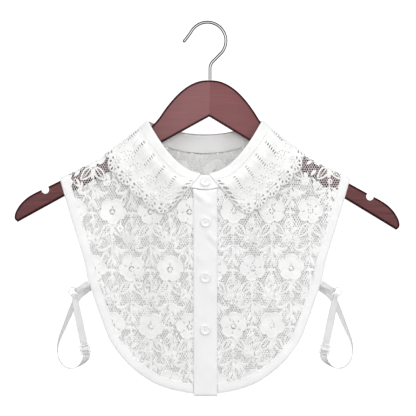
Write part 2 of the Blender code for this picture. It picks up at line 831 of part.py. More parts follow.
def board_half(name, hand, material):
    """Half of the hanger's board, its outer edges rounded."""
    outline = board_outline()
    outline[:, 0] *= hand
    count = len(outline)
    turned = [tilted(x, z) for x, z in outline]
    half = BOARD_THICK / 2
    shape = bmesh.new()
    near = [shape.verts.new((x * MM, -half * MM, z * MM)) for x, z in turned]
    far = [shape.verts.new((x * MM, half * MM, z * MM)) for x, z in turned]
    shape.faces.new(near)
    shape.faces.new(far[::-1])
    for i in range(count):
        after = (i + 1) % count
        shape.faces.new([near[i], far[i], far[after], near[after]])
    bmesh.ops.recalc_face_normals(shape, faces=shape.faces)
    rounded = []
    for ring in (near, far):
        for here, there in zip(ring, ring[1:]):
            rounded.append(shape.edges.get([here, there]))
    bmesh.ops.bevel(
        shape, geom=rounded, offset=BOARD_EDGE * MM, segments=2, profile=0.5, affect="EDGES"
    )
    mesh = bpy.data.meshes.new(name)
    shape.to_mesh(mesh)
    shape.free()
    mesh.materials.append(material)
    mesh.shade_smooth()
    mesh.set_sharp_from_angle(angle=math.radians(35))
    board = bpy.data.objects.new(name, mesh)
    bpy.context.scene.collection.objects.link(board)
    cut = board.modifiers.new("notch", "BOOLEAN")
    cut.operation = "DIFFERENCE"
    cut.solver = "EXACT"
    cut.object = notch_cutter(hand)
    return board


def hook(material):
    """The bent wire: a stem, a bend to one side, the bow over the rail and a short flared end."""
    radius = BOW_INNER + WIRE / 2
    centre_z = -math.sqrt(BOW_INNER**2 - BOW_CENTRE_X**2)
    start = math.radians(BOW_START)
    bow_start = np.array([BOW_CENTRE_X + radius * math.cos(start), centre_z + radius * math.sin(start)])
    meet_z = bow_start[1] - bow_start[0]
    tangent = NECK_BEND * math.tan(math.radians(22.5))
    points = [(0.0, BOARD_TOP + STEM_FOOT), (0.0, meet_z - tangent)]
    for step in range(1, 5):
        angle = math.radians(45 * step / 4)
        points.append(
            (NECK_BEND * (1 - math.cos(angle)), meet_z - tangent + NECK_BEND * math.sin(angle))
        )
    for degrees in np.linspace(BOW_START, BOW_END, 27):
        angle = math.radians(degrees)
        points.append((BOW_CENTRE_X + radius * math.cos(angle), centre_z + radius * math.sin(angle)))
    heading = math.radians(BOW_END + 90)
    steps = 5
    for step in range(steps):
        turned = heading - math.radians(FLARE_TURN) * (step + 1) / steps
        last_x, last_z = points[-1]
        reach = FLARE_LENGTH / steps
        points.append((last_x + reach * math.cos(turned), last_z + reach * math.sin(turned)))
    last_x, last_z = points[-1]
    for reach in (0.9, 1.5):
        points.append((last_x + reach * math.cos(turned), last_z + reach * math.sin(turned)))
    curve = bpy.data.curves.new("hanger_hook", "CURVE")
    curve.dimensions = "3D"
    curve.bevel_depth = WIRE / 2 * MM
    curve.bevel_resolution = 2
    curve.use_fill_caps = True
    line = curve.splines.new("POLY")
    line.points.add(len(points) - 1)
    for place, (x, z) in zip(line.points, points):
        place.co = (x * MM, 0.0, z * MM, 1.0)
    line.points[-2].radius = 0.82
    line.points[-1].radius = 0.4
    curve.materials.append(material)
    wire = bpy.data.objects.new("hanger_hook", curve)
    bpy.context.scene.collection.objects.link(wire)
    return wire


def ribbon(name, path, widths, twists, thickness, material):
    """A flat band along a path, its width turned from the garment's plane towards the viewer."""
    path = np.asarray(path, float)
    along = np.gradient(path, axis=0)
    along /= np.linalg.norm(along, axis=1, keepdims=True)
    toward = np.array([0.0, -1.0, 0.0])
    flat = np.cross(along, toward)
    for i in range(1, len(path)):
        if np.linalg.norm(flat[i]) < 0.35:
            flat[i] = flat[i - 1]
        elif np.dot(flat[i], flat[i - 1]) < 0:
            flat[i] *= -1
    flat /= np.linalg.norm(flat, axis=1, keepdims=True)
    turned = np.radians(twists)[:, None]
    across = flat * np.cos(turned) + toward * np.sin(turned)
    across -= along * np.sum(across * along, axis=1, keepdims=True)
    across /= np.linalg.norm(across, axis=1, keepdims=True)
    square = np.cross(along, across)
    half_width = np.asarray(widths)[:, None] / 2
    half_thick = thickness / 2
    corners = [
        path + across * half_width + square * half_thick,
        path - across * half_width + square * half_thick,
        path - across * half_width - square * half_thick,
        path + across * half_width - square * half_thick,
    ]
    count = len(path)
    vertices = np.stack(corners, 1).reshape(-1, 3)
    faces = [[3, 2, 1, 0], [4 * (count - 1) + k for k in range(4)]]
    for i in range(count - 1):
        for k in range(4):
            after = (k + 1) % 4
            faces.append([4 * i + k, 4 * i + after, 4 * (i + 1) + after, 4 * (i + 1) + k])
    return new_object(name, vertices, faces, material)


def side_place(hand, u, y, z):
    return (hand * u + GARMENT_X, y, z)


def strap_ring(name, hand, material):
    """The ring between the tab and the strap, facing the viewer."""
    around, section = 20, 6
    centre = side_place(hand, *RING_CENTRE)
    vertices, faces = [], []
    for i in range(around):
        angle = 2 * math.pi * i / around
        for j in range(section):
            turn = 2 * math.pi * j / section
            radius = RING_MIDDLE + RING_WIRE / 2 * math.cos(turn)
            vertices.append(
                (
                    centre[0] + radius * math.cos(angle),
                    centre[1] + RING_WIRE / 2 * math.sin(turn),
                    centre[2] + radius * math.sin(angle),
                )
            )
    for i in range(around):
        for j in range(section):
            there, after = (i + 1) % around, (j + 1) % section
            faces.append(
                [i * section + j, there * section + j, there * section + after, i * section + after]
            )
    return new_object(name, vertices, faces, material)


def strap_slider(name, hand, material):
    """The slider: a flat frame with a bar across its middle."""
    centre = side_place(hand, *SLIDER_CENTRE)
    wide, tall = SLIDER_OUTER
    window_wide, window_tall = SLIDER_WINDOW
    middle_bar = 1.2
    slant = math.radians(12.0) * hand
    xs = [-wide / 2, -window_wide / 2, window_wide / 2, wide / 2]
    inner = middle_bar / 2
    zs = [-tall / 2, -inner - window_tall, -inner, inner, inner + window_tall, tall / 2]
    shape = bmesh.new()
    grid = {}
    for i, x in enumerate(xs):
        for j, z in enumerate(zs):
            turned_x = x * math.cos(slant) + z * math.sin(slant)
            turned_z = -x * math.sin(slant) + z * math.cos(slant)
            for k, y in enumerate((-SLIDER_THICK / 2, SLIDER_THICK / 2)):
                grid[i, j, k] = shape.verts.new(
                    Vector((centre[0] + turned_x, centre[1] + y, centre[2] + turned_z)) * MM
                )
    cells = [(i, j) for i in range(3) for j in range(5) if not (i == 1 and j in (1, 3))]
    for i, j in cells:
        near = [grid[i, j, 0], grid[i + 1, j, 0], grid[i + 1, j + 1, 0], grid[i, j + 1, 0]]
        far = [grid[i, j, 1], grid[i + 1, j, 1], grid[i + 1, j + 1, 1], grid[i, j + 1, 1]]
        shape.faces.new(near)
        shape.faces.new(far[::-1])
        around = [((i, j), (i + 1, j), (i, j - 1)), ((i + 1, j), (i + 1, j + 1), (i + 1, j))]
        around += [((i + 1, j + 1), (i, j + 1), (i, j + 1)), ((i, j + 1), (i, j), (i - 1, j))]
        for start, end, neighbour in around:
            if neighbour not in cells:
                shape.faces.new(
                    [grid[(*start, 0)], grid[(*start, 1)], grid[(*end, 1)], grid[(*end, 0)]]
                )
    bmesh.ops.recalc_face_normals(shape, faces=shape.faces)
    mesh = bpy.data.meshes.new(name)
    shape.to_mesh(mesh)
    shape.free()
    mesh.materials.append(material)
    slider = bpy.data.objects.new(name, mesh)
    bpy.context.scene.collection.objects.link(slider)
    return slider


def outline_place(height, gap):
    """A place this far outside the side's edge, and the edge's outward direction there."""
    length = np.interp(height, OUTLINE[:, 1], OUTLINE_LENGTHS)
    edge = edge_point(np.array(length), 0.0)
    outside = edge_point(np.array(length), -gap)
    outward = (outside - edge) / np.linalg.norm(outside - edge)
    return outside, outward


def strap_tab(name, hand, material):
    """The short loop of ribbon between the front edge and the ring."""
    (edge_u, edge_height), outward = outline_place(TAB_HEIGHT, SEAM_GAP * 2.5)
    drop = shoulder(edge_u) - edge_height
    middle = -float(depth(np.array(hand * edge_u), np.array(drop), FRONT)) - CLOTH / 3
    ring_u, ring_y, ring_height = RING_CENTRE
    toward = np.array([edge_u - ring_u, edge_height - ring_height])
    toward /= np.linalg.norm(toward)
    wire = np.array([ring_u, ring_height]) + toward * RING_MIDDLE
    layer = RING_WIRE / 2 + SEAM_GAP * 2 + STRAP_CLOTH / 2
    rows = []
    for face in (-1, 1):
        leave = (edge_u, middle + face * 0.75, edge_height, TAB_WIDTH + 2.5)
        bend = (edge_u + outward[0] * 2.5, middle + face * 0.9, edge_height + outward[1] * 2.5, TAB_WIDTH + 2)
        near = (*(wire + toward * 2.5), TAB_WIDTH)
        over = (*wire, TAB_WIDTH)
        rows.append(
            [
                leave,
                bend,
                (near[0], ring_y + face * layer, near[1], TAB_WIDTH),
                (over[0], ring_y + face * layer, over[1], TAB_WIDTH),
            ]
        )
    turn = wire - toward * (layer + 0.9)
    path = rows[0] + [(turn[0], ring_y, turn[1], TAB_WIDTH)] + rows[1][::-1]
    path = smooth_curve(path, each=2)
    widths = path[:, 3]
    path[:, 0] = path[:, 0] * hand + GARMENT_X
    return ribbon(name, path[:, :3], widths, np.zeros(len(path)), STRAP_CLOTH, material)


def strap(name, hand, material):
    """The elastic: from the slider up through the ring, down through the slider and round to the back."""
    ring = np.array(RING_CENTRE)
    slider = np.array(SLIDER_CENTRE)
    down = (slider - ring) * [1, 0, 1]
    span = np.linalg.norm(down)
    down /= span
    layer = RING_WIRE / 2 + SEAM_GAP * 2 + STRAP_CLOTH / 2
    rows = []

    def add(along, y, width, origin=ring):
        place = origin + down * along
        rows.append((place[0], y, place[2], 0.0, width))

    ring_y, slider_y = ring[1], slider[1]
    add(span - 11.5, ring_y + 0.7, STRAP_WIDTH)
    add(span * 0.5, ring_y + 1.0, STRAP_WIDTH)
    add(RING_MIDDLE + 9, ring_y + layer, STRAP_WIDTH - 1)
    add(RING_MIDDLE + 2.5, ring_y + layer, TAB_WIDTH)
    add(RING_MIDDLE, ring_y + layer, TAB_WIDTH)
    add(RING_MIDDLE - layer - 0.9, ring_y, TAB_WIDTH)
    add(RING_MIDDLE, ring_y - layer, TAB_WIDTH)
    add(RING_MIDDLE + 2.5, ring_y - layer, TAB_WIDTH)
    add(RING_MIDDLE + 9, ring_y - layer, STRAP_WIDTH - 1)
    add(span * 0.5, ring_y - layer, STRAP_WIDTH)
    add(span - 12, slider_y + 0.9, STRAP_WIDTH)
    for share in (-1.35, -1.0, -0.5, 0.0, 0.5, 1.0):
        weave = -SLIDER_WEAVE * math.cos(math.pi * share) if share >= -1.0 else SLIDER_WEAVE * 0.8
        add(share * SLIDER_BAR, slider_y + weave, STRAP_WIDTH, slider)
    for u, y, height, twist in STRAP_LOOP:
        rows.append((u, y, height, twist, STRAP_WIDTH))
    (end_u, end_height), outward = outline_place(STRAP_BACK_HEIGHT, SEAM_GAP * 4)
    drop = shoulder(end_u) - end_height
    end_y = float(depth(np.array(hand * end_u), np.array(drop), BACK)) + CLOTH / 3
    rows.append((end_u + outward[0] * 3, end_y - 0.3, end_height + outward[1] * 3, 0.0, STRAP_WIDTH))
    rows.append((end_u, end_y, end_height, 0.0, STRAP_WIDTH))
    path = smooth_curve(rows, each=2)
    path[:, 0] = path[:, 0] * hand + GARMENT_X
    twists = path[:, 3] * hand
    return ribbon(name, path[:, :3], path[:, 4], twists, STRAP_CLOTH, material)


def main():
    clear_scene()
    lace = finish("lace", (0.9, 0.9, 0.89), 0.85)
    cotton = finish("cotton", (0.92, 0.92, 0.91), 0.8)
    collar_lace = finish("collar_lace", (0.94, 0.94, 0.93), 0.85)
    pearl = finish("button_pearl", (0.93, 0.93, 0.92), 0.15)
    elastic = finish("elastic", (0.86, 0.86, 0.86), 0.45)
    plastic = finish("clear_plastic", (0.9, 0.9, 0.9), 0.12, transmission=0.3)
    wood = finish("mahogany", (0.16, 0.055, 0.055), 0.3)
    chrome = finish("chrome", (0.75, 0.75, 0.76), 0.08, metallic=1.0)

    board_half("hanger_board_left", -1, wood)
    board_half("hanger_board_right", 1, wood)
    hook(chrome)
    left_lace = edge_lengths(length_at(-LEFT_PANEL_END, PANEL_INSET))
    right_lace = edge_lengths(length_at(RIGHT_PANEL_START, PANEL_INSET))
    left_edge = edge_lengths(length_at(-PLACKET_LEFT + SEAM_GAP, 0.0))
    right_edge = edge_lengths(length_at(PLACKET_RIGHT + SEAM_GAP, 0.0))
    whole_edge = edge_lengths(0.0)
    body_panel("front_panel_left", left_lace, -1, FRONT, lace)
    body_panel("front_panel_right", right_lace, 1, FRONT, lace)
    body_panel("back_panel", whole_edge, 0, BACK, lace)
    binding("binding_front_left", left_edge, -1, FRONT, cotton)
    binding("binding_front_right", right_edge, 1, FRONT, cotton)
    binding("binding_back", whole_edge, 0, BACK, cotton)
    band_columns = np.linspace(LEFT_PANEL_END + SEAM_GAP, RIGHT_PANEL_START - SEAM_GAP, 4)
    strip_on_body("button_band", band_columns, BAND_FOOT, 0.0, [], CLOTH, cotton)
    placket_columns = [PLACKET_LEFT, *band_columns, PLACKET_RIGHT]
    placket_out = CLOTH / 2 + SEAM_GAP + PLACKET_CLOTH / 2
    strip_on_body(
        "placket", placket_columns, PLACKET_FOOT, placket_out, PLACKET_CREASES, PLACKET_CLOTH, cotton
    )
    collar_stand(cotton)
    collar_fall(collar_lace)
    for number, height in enumerate(BUTTON_HEIGHTS, 1):
        button(number, height, pearl)
    for hand, word in ((-1, "left"), (1, "right")):
        strap_ring(f"strap_ring_{word}", hand, plastic)
        strap_slider(f"strap_slider_{word}", hand, plastic)
        strap_tab(f"strap_tab_{word}", hand, elastic)
        strap(f"strap_{word}", hand, elastic)


main()
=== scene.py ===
# %% [markdown]
# # A lace dickey collar on its hanger
#
# A dickey is the collar and the top of the front and back of a shirt, worn under a jumper. This one is
# machine-made floral lace with a heavy eyelet collar, cotton edging, four shirt buttons and a slack
# elastic strap at each side. It hangs on a stained wooden hanger. The lesson goes in the order of a
# dressmaker: the frame, the light, the cloth's form, the lace, the edgings, the collar, then the trims.

import math

import bmesh
import bpy
import numpy as np
from mathutils import Matrix, Vector
from mathutils.geometry import delaunay_2d_cdt


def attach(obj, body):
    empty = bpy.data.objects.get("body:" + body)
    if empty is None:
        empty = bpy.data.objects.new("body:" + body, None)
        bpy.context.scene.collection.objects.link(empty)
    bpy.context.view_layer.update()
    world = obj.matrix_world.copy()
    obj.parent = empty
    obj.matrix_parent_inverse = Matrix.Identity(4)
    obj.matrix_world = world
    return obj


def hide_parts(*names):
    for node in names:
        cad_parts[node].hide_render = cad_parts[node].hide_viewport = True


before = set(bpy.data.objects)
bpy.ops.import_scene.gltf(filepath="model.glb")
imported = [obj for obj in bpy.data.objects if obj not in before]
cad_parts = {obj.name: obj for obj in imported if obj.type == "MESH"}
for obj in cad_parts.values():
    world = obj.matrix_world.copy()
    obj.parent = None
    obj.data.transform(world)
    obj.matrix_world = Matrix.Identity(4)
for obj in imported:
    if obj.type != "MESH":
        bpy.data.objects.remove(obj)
bpy.ops.object.select_all(action="DESELECT")
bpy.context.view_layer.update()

# %% [markdown]
# ## Camera, floor and light
#
# The garment is photographed straight on, from about two metres, with a long lens, so the picture has
# almost no perspective. A pale sweep stands far behind it and turns into a floor below. Big soft
# lamps give the white-on-white look: the lace reads only by the soft shade inside its holes.

# %% Camera
MM = 0.001
FRAME_WIDTH = 478.4
CAMERA_DISTANCE = 2200.0
LOOK_AT = (-2.3, -211.6)

camera_data = bpy.data.cameras.new("camera")
camera_data.sensor_width = 36.0
camera_data.lens = 36.0 * CAMERA_DISTANCE / FRAME_WIDTH
camera_data.clip_start = 0.1
camera_data.clip_end = 30.0
camera = bpy.data.objects.new("camera", camera_data)
camera.location = (LOOK_AT[0] * MM, -CAMERA_DISTANCE * MM, LOOK_AT[1] * MM)
camera.rotation_euler = (math.radians(90), 0, 0)
bpy.context.scene.collection.objects.link(camera)
bpy.context.scene.camera = camera
print("lens", round(camera_data.lens, 1), "mm")

# %% Floor and backdrop
BOWL_REACH, BOWL_FLOOR, BOWL_ROUND, BOWL_TOP = 4.5, -0.75, 1.2, 3.5
section = [(0.0, BOWL_FLOOR), (BOWL_REACH - BOWL_ROUND, BOWL_FLOOR)]
for step in range(1, 13):
    turn = math.radians(90 * step / 12)
    out = BOWL_REACH - BOWL_ROUND + BOWL_ROUND * math.sin(turn)
    section.append((out, BOWL_FLOOR + BOWL_ROUND * (1 - math.cos(turn))))
section.append((BOWL_REACH, BOWL_TOP))
BOWL_TURNS = 96
sweep_mesh = bpy.data.meshes.new("sweep")
bowl = bmesh.new()
line = [bowl.verts.new((out, 0.0, height)) for out, height in section]
line_edges = [bowl.edges.new(pair) for pair in zip(line, line[1:])]
bmesh.ops.spin(
    bowl, geom=line + line_edges, cent=(0, 0, 0), axis=(0, 0, 1), dvec=(0, 0, 0),
    angle=math.tau, steps=BOWL_TURNS, use_merge=True,
)
bmesh.ops.remove_doubles(bowl, verts=bowl.verts, dist=0.0001)
bmesh.ops.recalc_face_normals(bowl, faces=bowl.faces)
bmesh.ops.reverse_faces(bowl, faces=bowl.faces)
bowl.to_mesh(sweep_mesh)
bowl.free()
sweep_mesh.shade_smooth()
sweep = bpy.data.objects.new("sweep", sweep_mesh)
bpy.context.scene.collection.objects.link(sweep)
paper = bpy.data.materials.new("backdrop_paper")
paper.use_nodes = True
paper_shader = paper.node_tree.nodes["Principled BSDF"]
paper_shader.inputs["Base Color"].default_value = (0.93, 0.93, 0.93, 1)
paper_shader.inputs["Roughness"].default_value = 0.9
paper_shader.inputs["Emission Color"].default_value = (1, 1, 1, 1)
paper_shader.inputs["Emission Strength"].default_value = 0.66
sweep_mesh.materials.append(paper)
sweep.visible_diffuse = False
sweep.visible_glossy = False
sweep.visible_shadow = False

# %% Lamps
LAMPS = [
    # name, place, looks at, wide, tall, watts
    ("key", (-0.8, -1.9, 0.55), (0, 0, -0.2), 0.9, 0.9, 8.5),
    ("fill", (1.1, -1.9, 0.35), (0, 0, -0.25), 0.9, 0.9, 9.9),
    ("front", (0.05, -2.6, 0.1), (0, 0, -0.2), 0.7, 0.7, 15),
    ("top", (0.1, -0.35, 1.3), (0, 0, -0.2), 1.2, 0.8, 8.5),
    ("back_left", (-0.9, 1.9, 0.6), (0, 0, -0.2), 0.9, 0.9, 15),
    ("back_right", (1.2, 1.9, 0.4), (0, 0, -0.2), 0.9, 0.9, 15),
]
for name, place, target, wide, tall, watts in LAMPS:
    lamp_data = bpy.data.lights.new(name, "AREA")
    lamp_data.shape = "RECTANGLE"
    lamp_data.size = wide
    lamp_data.size_y = tall
    lamp_data.energy = watts
    lamp = bpy.data.objects.new(name, lamp_data)
    lamp.location = place
    aim = Vector(target) - Vector(place)
    lamp.rotation_euler = aim.to_track_quat("-Z", "Y").to_euler()
    lamp.visible_camera = False
    lamp.visible_glossy = False
    bpy.context.scene.collection.objects.link(lamp)

# Cloth sees an even dome. Polished things see a second one with a bright band in front and behind, at
# the height of the hook, and dark between them, as unlit studio walls are: chrome needs dark edges.
CLOTH_FRONT, CLOTH_BACK = 0.5, 0.42
GLOSS_BRIGHT, GLOSS_DARK, GLOSS_ABOVE = 1.6, 0.05, 0.25


def dome_range(value, start, end, first, second):
    """Goes from the first strength to the second as a direction's part goes from start to end."""
    node = world.node_tree.nodes.new("ShaderNodeMapRange")
    for key, number in zip(("From Min", "From Max", "To Min", "To Max"), (start, end, first, second)):
        node.inputs[key].default_value = number
    world.node_tree.links.new(value, node.inputs["Value"])
    return node.outputs["Result"]


def dome_math(kind, first, second=None):
    node = world.node_tree.nodes.new("ShaderNodeMath")
    node.operation = kind
    world.node_tree.links.new(first, node.inputs[0])
    if second is not None:
        world.node_tree.links.new(second, node.inputs[1])
    return node.outputs["Value"]


world = bpy.data.worlds.new("studio")
world.use_nodes = True
nodes, links = world.node_tree.nodes, world.node_tree.links
nodes["Background"].inputs["Color"].default_value = (1, 1, 1, 1)
parts = nodes.new("ShaderNodeSeparateXYZ")
links.new(nodes.new("ShaderNodeTexCoord").outputs["Generated"], parts.inputs["Vector"])
for_cloth = dome_range(parts.outputs["Y"], -0.8, 0.5, CLOTH_FRONT, CLOTH_BACK)
ahead = dome_range(dome_math("ABSOLUTE", parts.outputs["Y"]), 0.66, 0.96, GLOSS_DARK, GLOSS_BRIGHT)
level = dome_range(dome_math("ABSOLUTE", parts.outputs["Z"]), 0.12, 0.5, 1.0, GLOSS_ABOVE)
choice = nodes.new("ShaderNodeMix")
links.new(nodes.new("ShaderNodeLightPath").outputs["Is Glossy Ray"], choice.inputs["Factor"])
links.new(for_cloth, choice.inputs["A"])
links.new(dome_math("MULTIPLY", ahead, level), choice.inputs["B"])
links.new(choice.outputs["Result"], nodes["Background"].inputs["Strength"])
bpy.context.scene.world = world
bpy.context.scene.view_settings.view_transform = "Standard"
bpy.context.scene.view_settings.look = "None"
print("lamps:", len(LAMPS))

# %% [markdown]
# ## Finishes
#
# Every finish is built from noise and waves in its own shader, so no texture is painted by hand. Cloth
# gets a fine weave as bump, the wood gets long grain along each arm under a satin lacquer, with painted
# shade on its rounded edges and a painted sheen across its middle, and the hard trims get their gloss
# from the shader alone.

# %% Shader helpers


def new_finish(name, colour, roughness, **sockets):
    """A Principled material; further sockets are given by name with _ for a space."""
    material = bpy.data.materials.new(name)
    material.use_nodes = True
    shader = material.node_tree.nodes["Principled BSDF"]
    shader.inputs["Base Color"].default_value = (*colour, 1.0)
    shader.inputs["Roughness"].default_value = roughness
    for socket, value in sockets.items():
        shader.inputs[socket.replace("_", " ")].default_value = value
    return material


def add_node(material, kind, **inputs):
    node = material.node_tree.nodes.new(kind)
    for name, value in inputs.items():
        node.inputs[name.replace("_", " ")].default_value = value
    return node


def wire(material, start, output, end, socket):
    material.node_tree.links.new(start.outputs[output], end.inputs[socket])


def coordinates(material, source, scale=(1, 1, 1)):
    """Object or UV coordinates through a Mapping node."""
    where = add_node(material, "ShaderNodeTexCoord")
    mapping = add_node(material, "ShaderNodeMapping")
    mapping.inputs["Scale"].default_value = scale
    wire(material, where, source, mapping, "Vector")
    return mapping


def shader_of(material):
    return material.node_tree.nodes["Principled BSDF"]


def add_bump(material, texture, output, distance, strength=1.0):
    """Relief of this many metres from a texture, on top of any relief the shader already has."""
    bump = add_node(material, "ShaderNodeBump", Strength=strength, Distance=distance)
    wire(material, texture, output, bump, "Height")
    shader = shader_of(material)
    if shader.inputs["Normal"].is_linked:
        before = shader.inputs["Normal"].links[0].from_node
        wire(material, before, "Normal", bump, "Normal")
    wire(material, bump, "Normal", shader, "Normal")


def tint_by_noise(material, mapping, scale, dark, light, detail=4.0):
    """Colour that drifts between two near shades."""
    patchy = add_node(material, "ShaderNodeTexNoise", Scale=scale, Detail=detail)
    ramp = add_node(material, "ShaderNodeValToRGB")
    ramp.color_ramp.elements[0].position = 0.35
    ramp.color_ramp.elements[1].position = 0.65
    ramp.color_ramp.elements[0].color = (*dark, 1)
    ramp.color_ramp.elements[1].color = (*light, 1)
    wire(material, mapping, "Vector", patchy, "Vector")
    wire(material, patchy, "Fac", ramp, "Fac")
    wire(material, ramp, "Color", shader_of(material), "Base Color")
    return patchy


# %% Cloth finishes
def woven_finish(name, dark, light, pitch, relief, roughness):
    """A plain weave: two crossing waves on the piece's UV map, which is in metres."""
    material = new_finish(name, light, roughness, Sheen_Weight=0.15, Specular_IOR_Level=0.25)
    tint_by_noise(material, coordinates(material, "Object"), 45.0, dark, light)
    uv = coordinates(material, "UV")
    for direction in ("X", "Y"):
        threads = add_node(material, "ShaderNodeTexWave", Scale=0.31831 / pitch, Distortion=0.4)
        threads.bands_direction = direction
        wire(material, uv, "Vector", threads, "Vector")
        add_bump(material, threads, "Fac", relief)
    return material


def thread_finish(name, dark, light, relief, roughness=0.8):
    """Lace thread: short uneven strands, finer along the height than across."""
    material = new_finish(name, light, roughness, Sheen_Weight=0.12, Specular_IOR_Level=0.25)
    tint_by_noise(material, coordinates(material, "Object"), 60.0, dark, light)
    strands = add_node(material, "ShaderNodeTexNoise", Scale=1100.0, Detail=2.0)
    wire(material, coordinates(material, "UV", (1.0, 0.45, 1.0)), "Vector", strands, "Vector")
    add_bump(material, strands, "Fac", relief)
    return material


lace_finish = thread_finish("lace_thread", (0.86, 0.86, 0.855), (0.93, 0.93, 0.925), 0.0005)
collar_finish = thread_finish("collar_lace_thread", (0.85, 0.85, 0.845), (0.92, 0.92, 0.915), 0.0006)
cotton_finish = woven_finish("plain_cotton", (0.935, 0.935, 0.935), (0.975, 0.975, 0.973), 0.00042, 0.00006, 0.85)
elastic_finish = woven_finish("ribbed_elastic", (0.88, 0.883, 0.886), (0.95, 0.953, 0.956), 0.0008, 0.00018, 0.5)
stitch_finish = new_finish("sewing_thread", (0.9, 0.9, 0.9), 0.7)
print("cloth finishes:", lace_finish.name, collar_finish.name, cotton_finish.name, elastic_finish.name)

# %% Hard finishes
chrome_finish = new_finish("polished_chrome", (0.7, 0.7, 0.71), 0.09, Metallic=1.0)
smudge = add_node(chrome_finish, "ShaderNodeTexNoise", Scale=90.0, Detail=3.0)
smudge_range = add_node(chrome_finish, "ShaderNodeMapRange", To_Min=0.03, To_Max=0.09)
wire(chrome_finish, coordinates(chrome_finish, "Object"), "Vector", smudge, "Vector")
wire(chrome_finish, smudge, "Fac", smudge_range, "Value")
wire(chrome_finish, smudge_range, "Result", shader_of(chrome_finish), "Roughness")

pearl_finish = new_finish("pearl_button", (0.93, 0.93, 0.925), 0.16, Coat_Weight=0.5, Coat_Roughness=0.08)
tint_by_noise(pearl_finish, coordinates(pearl_finish, "Object", (1, 1, 2.5)), 160.0, (0.86, 0.865, 0.87), (0.95, 0.945, 0.94))

plastic_finish = new_finish(
    "milky_plastic", (0.88, 0.89, 0.9), 0.12, Transmission_Weight=0.45, IOR=1.46
)
clouding = add_node(plastic_finish, "ShaderNodeTexNoise", Scale=500.0, Detail=2.0)
wire(plastic_finish, coordinates(plastic_finish, "Object"), "Vector", clouding, "Vector")
add_bump(plastic_finish, clouding, "Fac", 0.00005)


# How much of the painted sheen colour is mixed into the middle of the wood.
SHEEN_SHARE = 0.5


def wood_finish(name, lean, painted_sheen_colour):
    """Stained wood: long grain that leans with the arm, painted shade on the rounded edges, a painted sheen on the
    middle.
    """
    material = new_finish(
        name, (0.16, 0.045, 0.05), 0.34, Coat_Weight=0.15, Coat_Roughness=0.22, Specular_IOR_Level=0.35)
    mapping = coordinates(material, "Object")
    mapping.inputs["Rotation"].default_value = (0, lean, 0)
    mapping.inputs["Scale"].default_value = (26, 60, 420)
    grain = add_node(material, "ShaderNodeTexNoise", Scale=1.0, Detail=7.0, Distortion=0.25)
    grain.inputs["Roughness"].default_value = 0.62
    wire(material, mapping, "Vector", grain, "Vector")
    ramp = add_node(material, "ShaderNodeValToRGB")
    stops = ramp.color_ramp.elements
    stops[0].position, stops[0].color = 0.3, (0.06, 0.011, 0.012, 1)
    stops[1].position, stops[1].color = 0.72, (0.15, 0.034, 0.038, 1)
    stops.new(0.5).color = (0.1, 0.02, 0.023, 1)
    wire(material, grain, "Fac", ramp, "Fac")
    # Painted shade: where the surface turns away from facing front or back, on the rounded edges, the grain colour is
    # mixed to near black.
    facing = add_node(material, "ShaderNodeNewGeometry")
    split = add_node(material, "ShaderNodeSeparateXYZ")
    flatness = add_node(material, "ShaderNodeMath")
    flatness.operation = "ABSOLUTE"
    wire(material, facing, "Normal", split, "Vector")
    wire(material, split, "Y", flatness, "Value")
    edge = add_node(material, "ShaderNodeMapRange", From_Min=0.93, From_Max=0.999)
    wire(material, flatness, "Value", edge, "Value")
    edge_shade_mix = add_node(material, "ShaderNodeMixRGB", Color1=(0.036, 0.006, 0.007, 1))
    wire(material, edge, "Result", edge_shade_mix, "Fac")
    # Painted sheen: near the middle of the hanger the colour is mixed partly towards a paler sheen colour, fading out
    # towards the tips.
    place = coordinates(material, "Object")
    along = add_node(material, "ShaderNodeSeparateXYZ")
    distance = add_node(material, "ShaderNodeMath")
    distance.operation = "ABSOLUTE"
    sheen_fade = add_node(material, "ShaderNodeMapRange", From_Min=0.03, From_Max=0.16, To_Min=1.0, To_Max=0.0)
    sheen_mix = add_node(material, "ShaderNodeMixRGB", Color2=(*painted_sheen_colour, 1))
    share = add_node(material, "ShaderNodeMath")
    share.operation = "MULTIPLY"
    share.inputs[1].default_value = SHEEN_SHARE
    wire(material, place, "Vector", along, "Vector")
    wire(material, along, "X", distance, "Value")
    wire(material, distance, "Value", sheen_fade, "Value")
    wire(material, sheen_fade, "Result", share, "Value")
    wire(material, share, "Value", sheen_mix, "Fac")
    wire(material, ramp, "Color", sheen_mix, "Color1")
    wire(material, sheen_mix, "Color", edge_shade_mix, "Color2")
    wire(material, edge_shade_mix, "Color", shader_of(material), "Base Color")
    add_bump(material, grain, "Fac", 0.00012)
    pores = add_node(material, "ShaderNodeTexNoise", Scale=3.0, Detail=2.0)
    wire(material, mapping, "Vector", pores, "Vector")
    gloss = add_node(material, "ShaderNodeMapRange", To_Min=0.27, To_Max=0.42)
    wire(material, pores, "Fac", gloss, "Value")
    wire(material, gloss, "Result", shader_of(material), "Roughness")
    return material


print("hard finishes:", chrome_finish.name, pearl_finish.name, plastic_finish.name)

# %% [markdown]
# ## The form of the cloth
#
# The cloth turns over the board at the shoulders, swells out over the neck and falls nearly flat. A
# point on it is given by u, its distance from the garment's own middle, and its height. All the
# sewn pieces are made from these few functions, so they fit each other like real pattern pieces.

